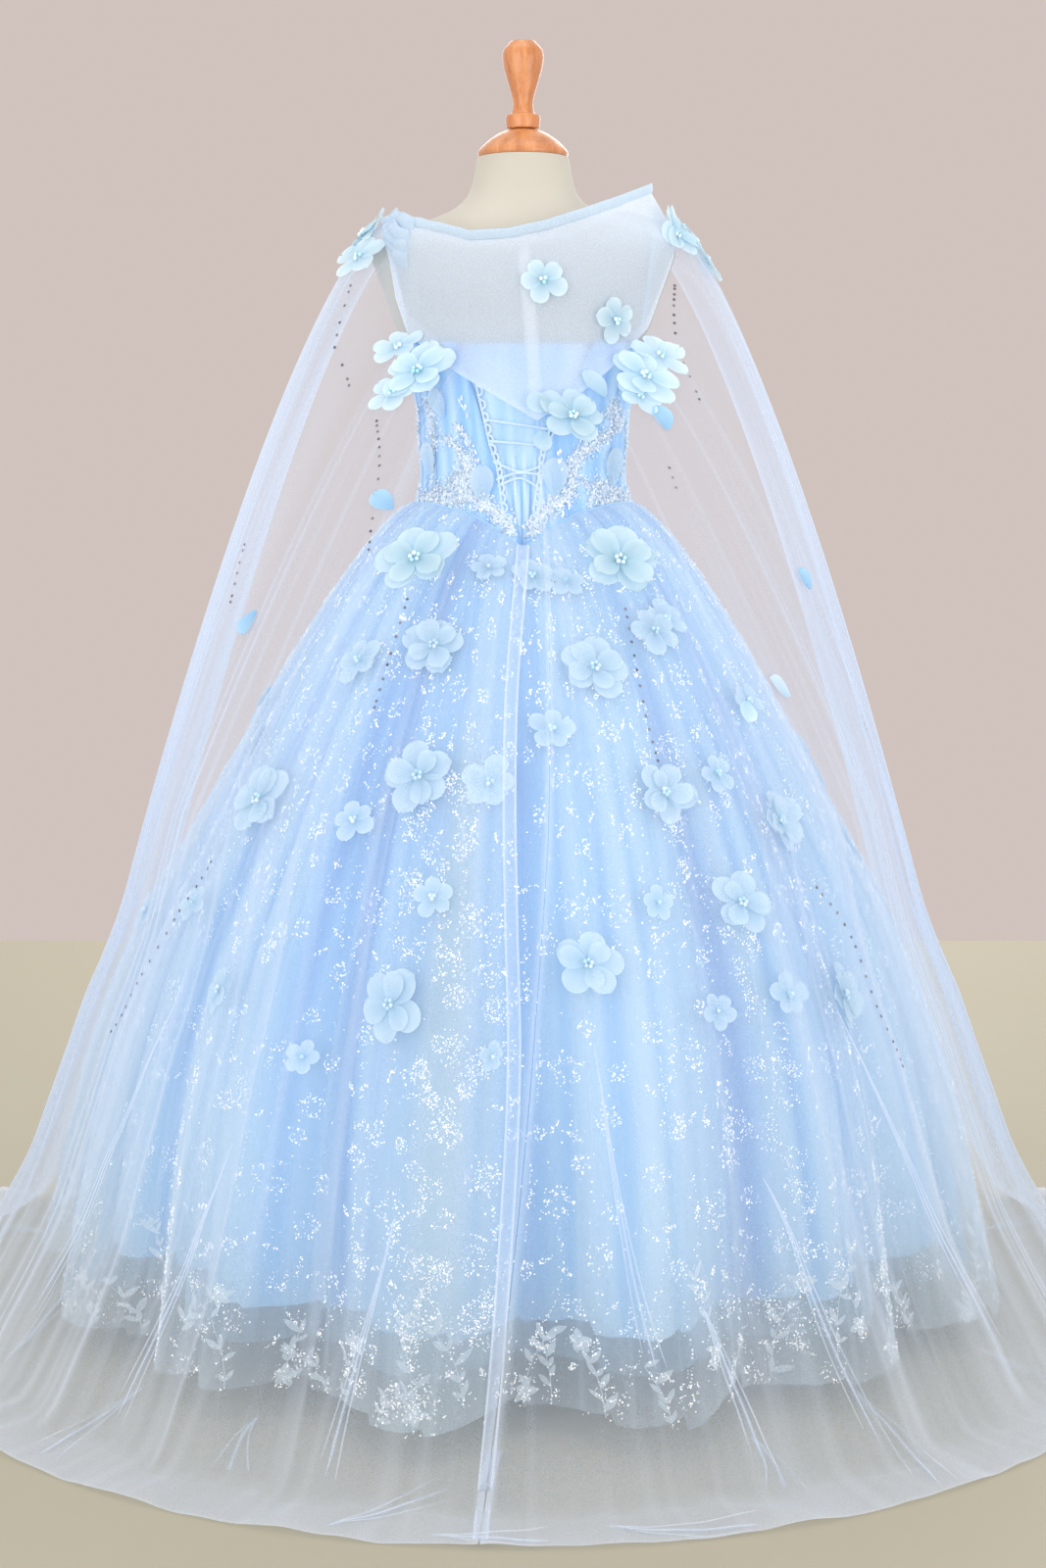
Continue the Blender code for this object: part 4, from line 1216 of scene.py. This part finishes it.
def surfaceAt(layer, angle, height):
    if layer == "skirt":
        return onOverlay(angle, height)
    if layer == "cape":
        return place(angle, capeSkin(angle, height), height)
    if layer == "yoke":
        return yokeSurface(angle, height)
    return bodicePoint(angle, height)


def seatOn(layer, angle, height):
    # Where a trim sits, with the cloth's directions there: across, upward and out
    centre = surfaceAt(layer, angle, height)
    across = surfaceAt(layer, angle + 1.5, height) - surfaceAt(layer, angle - 1.5, height)
    upward = surfaceAt(layer, angle, height + 0.012) - surfaceAt(layer, angle, height - 0.012)
    out = across.cross(upward).normalized()
    return centre, across / 3, upward / 0.024, out


# Organza flowers
flowers = sewn(
    "on angle height radius turn",
    ("cape", [
        (-84, 1.296, 0.036, 10), (92, 1.27, 0.033, 50), (-50, 1.13, 0.04, 20),
        (57, 1.124, 0.04, 65), (25, 1.076, 0.036, 0), (-27, 0.913, 0.044, 35), (25, 0.91, 0.045, 5),
    ]),
    ("skirt", [
        (-43, 0.795, 0.03, 50), (-23, 0.813, 0.038, 15), (17, 0.79, 0.04, 70),
        (37, 0.828, 0.032, 25), (-55, 0.633, 0.043, 40), (-19, 0.675, 0.042, 40),
        (-6, 0.672, 0.03, 5), (26, 0.655, 0.034, 55), (51, 0.61, 0.038, 30),
        (-17, 0.445, 0.042, 60), (9, 0.488, 0.036, 12), (34, 0.537, 0.034, 66),
        (-45, 0.435, 0.03, 66), (50, 0.42, 0.038, 22), (4, 0.89, 0.026, 25), (-98, 0.72, 0.04, 18),
        (104, 0.64, 0.042, 48), (-140, 0.8, 0.042, 30), (150, 0.79, 0.045, 8),
        (178, 0.69, 0.048, 52), (-158, 0.56, 0.05, 17), (138, 0.5, 0.048, 44),
        (-135, 0.38, 0.045, 3), (166, 0.34, 0.05, 25),
    ]),
    ("bodice", [
        (-138, 1.145, 0.034, 12), (136, 1.12, 0.034, 60),
    ]),
    ("yoke", [
        (14, 1.236, 0.028, 40),
    ]),
)
extraFlowers = sewn(
    "on angle height radius turn",
    ("skirt", [
        (43, 0.841, 0.026, 20), (38, 0.672, 0.024, 30), (37, 0.44, 0.024, 12),
        (27, 0.428, 0.02, 50), (-29, 0.382, 0.018, 5), (-13, 0.554, 0.024, 33),
        (-4, 0.398, 0.016, 12), (-59, 0.513, 0.022, 60), (-30, 0.626, 0.024, 44),
        (6, 0.726, 0.026, 9), (20, 0.545, 0.02, 9), (58, 0.744, 0.024, 39), (-13, 0.9, 0.022, 39),
        (15, 0.885, 0.022, 10), (-72, 0.69, 0.026, 10), (78, 0.56, 0.026, 25),
        (-84, 0.47, 0.024, 48), (-120, 0.6, 0.026, 18), (122, 0.7, 0.026, 54),
        (160, 0.88, 0.026, 22), (-165, 0.85, 0.024, 65), (-178, 0.45, 0.024, 31),
        (118, 0.37, 0.024, 15),
    ]),
    ("cape", [
        (-76, 1.268, 0.032, 30), (-92, 1.3, 0.03, 10), (84, 1.296, 0.034, 50),
        (94, 1.308, 0.03, 15),
    ]),
    ("yoke", [
        (52, 1.192, 0.027, 30),
    ]),
    ("cape", [
        (-62, 1.16, 0.026, 44), (-54, 1.105, 0.028, 12), (66, 1.15, 0.03, 12), (52, 1.1, 0.024, 52),
    ]),
    ("bodice", [
        (-160, 1.165, 0.028, 20), (162, 1.15, 0.028, 48), (-110, 1.13, 0.026, 5),
        (112, 1.135, 0.026, 25),
    ]),
)
loosePetals = sewn(
    "on angle height size turn look",
    ("cape", [
        (-38, 0.969, 0.034, 150, "blueOrganza"), (54, 1.061, 0.034, 80, "blueOrganza"),
        (-63, 0.85, 0.032, 260, "blueOrganza"), (73, 0.873, 0.028, 100, "blueOrganza"),
        (42, 0.755, 0.03, 250, "organza"), (52, 0.755, 0.034, 130, "organza"),
        (10, 1.06, 0.032, 270, "paleOrganza"), (17, 1.09, 0.034, 170, "paleOrganza"),
        (41, 1.1, 0.036, 100, "paleOrganza"),
    ]),
    ("bodice", [
        (-67, 1.01, 0.04, 90, "organza"), (-27, 0.978, 0.042, 95, "organza"),
        (-52, 1.08, 0.036, 110, "organza"), (63, 0.998, 0.044, 85, "paleOrganza"),
        (22, 0.985, 0.044, 88, "organza"), (-120, 1.02, 0.042, 90, "organza"),
        (120, 1.02, 0.042, 90, "organza"), (-160, 0.99, 0.042, 80, "organza"),
        (160, 0.99, 0.042, 100, "organza"),
    ]),
)
petalShape = {"rows": 8, "columns": 6, "half": 0.42, "waist": 0.6, "cup": 0.11, "large": 0.033}


def addPetal(made, seat, layer, row, turn, start, length, lift, tilt, half=None):
    centre, across, upward, out = seat
    side, up = across.normalized(), upward.normalized()
    rows, columns = petalShape["rows"], petalShape["columns"]
    half = half or petalShape["half"]
    curl = made.random.uniform(0.6, 1.4)
    phase = made.random.uniform(0, 6)
    grid, rim = [], []
    for i in range(rows + 1):
        u = sin(pi / 2 * i / rows)
        if u < petalShape["waist"]:
            wide = 0.2 + 0.8 * sin(pi / 2 * u / petalShape["waist"])
        else:
            wide = max(1 - ((u - petalShape["waist"]) / (1 - petalShape["waist"])) ** 2, 0.012) ** 0.5
        wide *= half * length
        line, pale = [], []
        for j in range(columns + 1):
            v = -1 + 2 * j / columns
            along = start + length * u
            x = cos(turn) * along - sin(turn) * wide * v
            y = sin(turn) * along + cos(turn) * wide * v
            cloth = surfaceAt(layer, row["angle"] + x / across.length, row["height"] + y / upward.length)
            rise = (cloth - centre - side * x - up * y).dot(out)
            rise = max(rise, 0.5 * rise)
            bowl = petalShape["cup"] * length * (0.55 * v * v + 0.45 * u * u) * curl
            ruffle = 0.035 * length * sin(3.2 * v + phase) * u
            droop = 0.22 * length * max(u - 0.72, 0) * curl
            lifted = lift + tilt * length * u + bowl + ruffle - droop
            line.append(centre + side * x + up * y + out * (rise + max(lifted, 0.0006)))
            pale.append(clamp(u * 0.9 + 0.25 * v * v))
        grid.append(line)
        rim.append(pale)
    made.grid(grid, False, rim)


def addFlower(made, hearts, row):
    layer = row["on"]
    seat = seatOn(layer, row["angle"], row["height"])
    size, chance, large = row["radius"], made.random, petalShape["large"]
    layers = [(1.0, 0.0, 0.0018, 0.03, 5)]
    if size > large:
        layers.append((0.84, 30 + chance.uniform(-12, 12), 0.0038, 0.1, chance.choice((2, 3, 3, 4))))
    for share, twist, lift, tilt, count in layers:
        for k in range(count):
            turn = radians(row["turn"] + twist + 360 * k / count + chance.uniform(-9, 9))
            length = size * share * chance.uniform(0.86, 1.08)
            opened = tilt + chance.uniform(-0.02, 0.08)
            addPetal(made, seat, layer, row, turn, size * 0.05, length, lift, opened)
    centre, across, upward, out = seat
    count = 5 if size > large else (3 if size > 0.022 else 1)
    for k in range(count):
        turn = radians(row["turn"] + 360 * k / count)
        spread = size * 0.11 if count > 1 else 0.0
        at = centre + (across.normalized() * cos(turn) + upward.normalized() * sin(turn)) * spread
        hearts.ball(at + out * (0.0085 if size > large else 0.006), chance.uniform(0.0042, 0.0058))


def sewFlowers():
    hearts = heap(51)
    for number, row in enumerate(flowers, 1):
        made = heap(100 + number)
        addFlower(made, hearts, row)
        bright = number in (6, 7) or row["on"] == "cape" and row["height"] < 1.1
        look = looks["paleOrganza"] if bright else looks["organza"]
        made.done(f"organza_{number:02d}", look, "organza", [f"flower_{number:02d}"], rim=True)
    small = heap(52)
    for row in extraFlowers:
        addFlower(small, hearts, row)
    small.done("small_flowers", looks["organza"], "organza", rim=True)
    for look in ("organza", "paleOrganza", "blueOrganza"):
        made = heap(53)
        for row in loosePetals:
            if row["look"] == look:
                seat = seatOn(row["on"], row["angle"], row["height"])
                turn = radians(row["turn"])
                addPetal(made, seat, row["on"], row, turn, 0.0, row["size"], 0.0015, 0.06, 0.36)
        made.done(f"loose_petals_{look}", looks[look], "organza", rim=True)
    hearts.done("flower_hearts", looks["pearl"], "trim")


sewFlowers()
print("flowers done", flush=True)

# Sequin scrolls, crystals and strands of stones
scrolls = tableOf(
    "path width count",
    ([(-64, 1.098), (-63, 1.072), (-62, 1.045)], 0.021, 462),
    ([(-76, 1.092), (-79, 1.065), (-80, 1.03)], 0.013, 216),
    ([(-53, 1.055), (-45, 1.043), (-40, 1.029), (-39, 1.013)], 0.01, 338),
    ([(-37, 1.027), (-39, 1.011), (-47, 1.001), (-58, 0.99), (-75, 0.98)], 0.025, 1015),
    ([(-96, 0.984), (-80, 0.982), (-64, 0.981), (-50, 0.98), (-37, 0.982), (-26, 0.977)], 0.021, 1015),
    ([(-26, 0.977), (-19, 0.966), (-12, 0.954), (-7, 0.942)], 0.016, 523),
    ([(-39, 1.008), (-41, 0.992), (-30, 0.985)], 0.022, 462),
    ([(-64, 1.043), (-66, 1.0)], 0.005, 124),
    ([(-46, 1.07), (-40, 1.06), (-37, 1.046)], 0.008, 154),
    ([(71, 1.08), (59, 1.06), (49, 1.048), (40, 1.036), (34, 1.02), (35, 0.999)], 0.018, 1108),
    ([(61, 1.096), (67, 1.072)], 0.016, 277),
    ([(35, 0.999), (30, 0.985), (22, 0.976), (15, 0.966), (9, 0.954), (5, 0.942)], 0.017, 862),
    ([(38, 1.06), (50, 1.076), (60, 1.09)], 0.009, 216),
    ([(96, 0.984), (82, 0.984), (70, 0.988), (59, 0.994), (50, 0.999)], 0.023, 924),
    ([(80, 0.972), (68, 0.976), (58, 0.978), (50, 0.982)], 0.018, 523),
    ([(43, 1.004), (47, 0.986), (43, 0.972)], 0.008, 185),
    ([(76, 1.075), (78, 1.04), (74, 1.01)], 0.009, 216),
    ([(-100, 0.986), (-120, 0.984), (-140, 0.978), (-158, 0.958), (-178, 0.925)], 0.021, 1292),
    ([(100, 0.986), (120, 0.984), (140, 0.978), (158, 0.958), (178, 0.925)], 0.021, 1292),
    ([(-105, 1.06), (-118, 1.09), (-136, 1.08), (-142, 1.045), (-130, 1.01)], 0.016, 800),
    ([(105, 1.06), (118, 1.09), (136, 1.08), (142, 1.045), (130, 1.01)], 0.016, 800),
    ([(-178, 1.12), (-164, 1.08), (-166, 1.03), (-178, 0.99)], 0.014, 739),
    ([(178, 1.12), (164, 1.08), (166, 1.03), (178, 0.99)], 0.014, 739),
)
crystalRows = tableOf(
    "at count lean",
    ((-38, 1.101), 4, 20), ((-36, 1.09), 4, -15), ((-35, 1.049), 5, 10), ((-32, 1.037), 3, 30),
    ((25, 1.038), 3, 5), ((26, 1.028), 3, 0), ((-11, 0.944), 3, 25), ((25, 0.974), 4, -20),
    ((-72, 0.98), 4, 0), ((-42, 1.067), 2, 40), ((44, 1.078), 4, -30), ((56, 1.06), 3, 15),
    ((48, 0.99), 3, 0), ((7, 0.94), 4, 10), ((-150, 1.06), 5, 10), ((150, 1.06), 5, -10),
    ((180, 1.11), 6, 0), ((180, 0.94), 4, 0),
)
strands = tableOf(
    "path count",
    ([(-73, 1.234), (-65, 1.115)], 9),
    ([(77, 1.236), (74, 1.191), (69, 1.099)], 13),
    ([(-54, 1.072), (-46, 1.012), (-40, 0.923)], 14),
    ([(-70, 0.927), (-68, 0.86)], 7),
    ([(49, 1.017), (48, 0.994)], 3),
    ([(-26, 0.869), (-26, 0.804), (-26, 0.753)], 10),
    ([(23, 0.858), (22, 0.808), (21, 0.745), (21, 0.699)], 13),
    ([(-48, 0.577), (-53, 0.514), (-58, 0.432), (-61, 0.369)], 17),
    ([(43, 0.554), (47, 0.493), (48, 0.413), (50, 0.352)], 17),
    ([(-95, 0.9), (-93, 0.78)], 12),
    ([(96, 0.8), (94, 0.69)], 11),
)


embroidery = {
    "more": 1.25, "spread": 0.44, "radius": 0.13, "small": 0.0018, "large": 0.0032,
    "crystal": (0.0034, 0.007), "stone": (0.0036, 0.0042),
}


def embroider():
    sequins, stones, crystals = heap(61), heap(62), heap(63)
    chance = sequins.random
    for row in scrolls:
        path = curve(row["path"], 12)
        for k in range(int(embroidery["more"] * row["count"])):
            spot = chance.random() * (len(path) - 1)
            i = int(spot)
            ends = path[i], path[min(i + 1, len(path) - 1)]
            angle, height = (a + (b - a) * (spot - i) for a, b in zip(*ends))
            spread = chance.gauss(0, embroidery["spread"]) * row["width"]
            turn = chance.uniform(0, 2 * pi)
            height += spread * sin(turn)
            angle += degrees(spread * cos(turn) / embroidery["radius"])
            if height < basqueAt(angle) - 0.006:
                continue
            at = bodicePoint(angle, height, 0.0012 + 0.0014 * chance.random())
            size = chance.uniform(embroidery["small"], embroidery["large"])
            sequins.speck(at, levelOut(at), size, 6, 0.5)
    for row in crystalRows:
        angle, height = row["at"]
        for k in range(row["count"]):
            turn = radians(row["lean"] + 150 * k)
            reach = 0.0035 if k else 0.0
            over = degrees(reach * cos(turn) / 0.12)
            at = bodicePoint(angle + over, height - 0.004 * k + reach * sin(turn), 0.0035)
            out = levelOut(at)
            upward = Vector((0, 0, 1))
            lean = upward + out.cross(upward) * sin(turn) * 0.7
            crystals.gem(at, out, lean, *embroidery["crystal"])
    for row in strands:
        path = curve(row["path"], 20)
        for k in range(row["count"]):
            angle, height = path[round(k * (len(path) - 1) / (row["count"] - 1))]
            centre, across, upward, out = seatOn("cape", angle, height)
            stones.gem(centre + out * 0.0018, out, upward, *embroidery["stone"])
    sequins.done("sequin_scrolls", looks["sequin"], "trim", rounded=False)
    crystals.done("crystals", looks["crystal"], "trim", rounded=False)
    stones.done("cape_stones", looks["stone"], "trim", rounded=False)


embroider()
print("embroidery done", flush=True)

# Glitter print on the overlay: one tile drawn in metres, repeated round the skirt and up it
glitter = {
    "tileWide": 0.18, "tileTall": 0.3, "turn": 18, "small": 0.0012, "large": 0.0029, "lift": 0.0012,
    "ringSpecks": 3300, "stackSpecks": 3400, "dust": 90,
}
ringMotifs = [
    (0.045, 0.225, 0.021), (0.128, 0.105, 0.023), (0.15, 0.262, 0.015), (0.026, 0.07, 0.014),
    (0.088, 0.172, 0.016), (0.092, 0.026, 0.012), (0.104, 0.222, 0.012), (0.06, 0.112, 0.013),
    (0.166, 0.16, 0.012), (0.168, 0.03, 0.015), (0.008, 0.15, 0.011), (0.07, 0.272, 0.011),
]
stemMotifs = [
    (0.045, 0.203, 0.03, 0.088, 0.012, 30),
    (0.128, 0.08, 0.104, -0.01, -0.01, 24),
    (0.15, 0.246, 0.14, 0.132, 0.01, 28),
    (0.088, 0.155, 0.096, 0.042, -0.012, 30),
    (0.01, 0.29, 0.004, 0.17, 0.006, 22),
    (0.168, 0.14, 0.172, 0.04, 0.004, 24),
]
leafMotifs = [
    (0.03, 0.16, 40), (0.052, 0.15, 140), (0.112, 0.06, 30), (0.14, 0.2, 150), (0.16, 0.205, 30),
    (0.098, 0.12, 45), (0.078, 0.07, 135), (0.012, 0.23, 60), (0.146, 0.052, 120), (0.06, 0.045, 35),
]


def tileSpecks(rng):
    specks = []
    for x, y, size in ringMotifs:
        wave, petals = rng.uniform(0, 6), rng.choice((4, 5, 5, 6))
        for k in range(int(glitter["ringSpecks"] * size)):
            turn = rng.uniform(0, 2 * pi)
            reach = size * (0.3 + 0.62 * rng.random() ** 0.55 + 0.18 * cos(petals * turn + wave))
            specks.append((x + reach * cos(turn), y + reach * sin(turn)))
    for x, y, toX, toY, bend, count in stemMotifs:
        for k in range(count):
            t = rng.random()
            bow = bend * sin(pi * t)
            loose = 0.001 + 0.0012 * (k % 3)
            specks.append((x + (toX - x) * t + bow + rng.gauss(0, loose), y + (toY - y) * t))
    for x, y, turn in leafMotifs:
        lean = radians(turn + rng.uniform(-25, 25))
        long, wide = 0.009 * rng.uniform(0.7, 1.2), 0.0032
        for k in range(18):
            u, v = rng.uniform(-1, 1), rng.uniform(-1, 1)
            along, across = long * u, wide * v * (1 - u * u)
            over = along * cos(lean) - across * sin(lean)
            specks.append((x + over, y + along * sin(lean) + across * cos(lean)))
    for k in range(glitter["dust"]):
        specks.append((rng.uniform(0, glitter["tileWide"]), rng.uniform(0, glitter["tileTall"])))
    return specks


def overlaySlope():
    # How far down the cloth each share of the overlay's height lies
    layer = skirtLayers["overlay"]
    total, last, table = 0.0, None, []
    for k in range(41):
        share = 1 - k / 40
        top = basqueAt(40)
        height = top + (layer["hem"] - top) * share
        point = Vector((skirtRadius(40, height), 0, height))
        total += (point - last).length if last else 0.0
        last = point
        table.append({"run": total, "share": share})
    return table


def printGlitter():
    specks = heap(71)
    rng = specks.random
    slope = overlaySlope()
    hem = skirtLayers["overlay"]["hem"]
    rows = int(slope[-1]["run"] / glitter["tileTall"]) + 1
    for row in range(rows):
        for column in range(int(360 / glitter["turn"])):
            shiftX, shiftY = rng.uniform(-0.012, 0.012), rng.uniform(-0.02, 0.02)
            half = 0.15 if row % 2 else 0.0
            for x, y in tileSpecks(rng):
                run = row * glitter["tileTall"] + (y + shiftY + half) % glitter["tileTall"]
                if run > slope[-1]["run"] - 0.01:
                    continue
                fade = clamp(1.25 - run / slope[-1]["run"])
                if rng.random() > 0.45 + 0.55 * fade:
                    continue
                angle = wrap(column * glitter["turn"] + (x + shiftX) / glitter["tileWide"] * glitter["turn"])
                share = read(slope, "share", run, "run")
                top = basqueAt(angle)
                height = top + (hem - top) * share
                here = onOverlay(angle, height, glitter["lift"])
                size = glitter["small"] + (glitter["large"] - glitter["small"]) * rng.random() ** 1.6
                specks.speck(here, levelOut(here), size)
    for row in overlayStacks:
        for k in range(int(60 * row["share"])):
            middleAngle = row["angle"] + rng.gauss(0, row["width"] * 0.7)
            centre = rng.uniform(0.05, 0.72)
            size = rng.uniform(0.009, 0.021)
            for i in range(int(glitter["stackSpecks"] * size)):
                turn, reach = rng.uniform(0, 6.283), size * rng.random() ** 0.5
                height = centre + reach * sin(turn)
                radius = layerRadius("overlay", middleAngle, centre)
                angle = middleAngle + degrees(0.8 * reach * cos(turn) / radius)
                here = onOverlay(angle, max(height, 0.034), glitter["lift"])
                specks.speck(here, levelOut(here), glitter["small"] + 0.0012 * rng.random())
    print("glitter specks", len(specks.faces), flush=True)
    specks.done("glitter_print", looks["glitter"], "trim", rounded=False)


printGlitter()

# Printed leaf sprays round the hem
spray = {
    "count": 74, "low": 0.034, "tall": 0.105, "leaf": 0.022, "leafWide": 0.0038, "bloom": 0.013,
    "radius": 0.57,
}


def hemSprays():
    leaves, specks = heap(81), heap(82)
    rng = leaves.random
    metre = degrees(1 / spray["radius"])

    def onHem(angle, height):
        return onOverlay(angle, height, 0.001)

    def addLeaf(angle, height, turn, length, wide):
        rows = []
        for k in range(6):
            u = k / 5
            reach = length * u
            half = wide * sin(pi * min(u * 0.94 + 0.05, 1)) ** 0.8
            line = []
            for v in (-1, 0, 1):
                x = cos(turn) * reach - sin(turn) * half * v
                y = sin(turn) * reach + cos(turn) * half * v
                line.append(onHem(angle + x * metre, max(height + y, 0.032)))
            rows.append(line)
        leaves.grid(rows)

    def addStem(path):
        for (a, low), (b, high) in zip(path, path[1:]):
            leaves.grid([[onHem(at - 0.05, h), onHem(at + 0.05, h)] for at, h in ((a, low), (b, high))])

    for k in range(spray["count"]):
        angle = 360 * (k + rng.uniform(-0.35, 0.35)) / spray["count"]
        tall = spray["tall"] * rng.uniform(0.35, 1.1)
        lean = rng.choice((-1, 1)) * rng.uniform(0.01, 0.05) * metre
        low = spray["low"] + rng.choice((0.0, 0.0, rng.uniform(0.01, 0.05)))
        stem = curve([(angle, low), (angle + lean * 0.25, low + tall * 0.5), (angle + lean, low + tall)], 7)
        addStem(stem)
        for i in range(2, len(stem), 2):
            if rng.random() < 0.2:
                continue
            side = 1 if i % 4 else -1
            turn = radians(90 - side * rng.uniform(25, 70) - lean * 4)
            size = rng.uniform(0.55, 1.05)
            addLeaf(stem[i][0], stem[i][1], turn, spray["leaf"] * size, spray["leafWide"] * size)
            if rng.random() < 0.5:
                small = 0.7 * spray["leaf"] * size
                addLeaf(stem[i][0], stem[i][1], turn + side * 1.2, small, spray["leafWide"] * 0.7)
        if k % 2 == 0:
            top = stem[-1] if k % 4 else stem[3]
            for petal in range(5):
                turn = radians(72 * petal + 15 * k)
                addLeaf(top[0], top[1], turn, spray["bloom"] * rng.uniform(0.8, 1.1), 0.0044)
            for i in range(20):
                turn, reach = rng.uniform(0, 6.3), spray["bloom"] * rng.uniform(0.1, 1.1)
                over = reach * cos(turn) * metre
                here = onHem(top[0] + over, max(top[1] + reach * sin(turn), 0.033))
                specks.speck(here * 1.0008, levelOut(here), rng.uniform(0.0014, 0.0028))
        for i in range(26):
            a, h = stem[rng.randrange(len(stem))]
            here = onHem(a + rng.gauss(0, 0.5), max(h + rng.gauss(0, 0.005), 0.033))
            specks.speck(here * 1.0008, levelOut(here), rng.uniform(0.0014, 0.0028))
    thick = {"dense": [0.05 + 0.1 * rng.random() for k in leaves.points]}
    piece("hem_leaves", leaves.points, leaves.faces, looks["printed"], (), thick)
    specks.done("hem_glitter", looks["glitter"], "trim", rounded=False)


hemSprays()
print("overlay print done", flush=True)
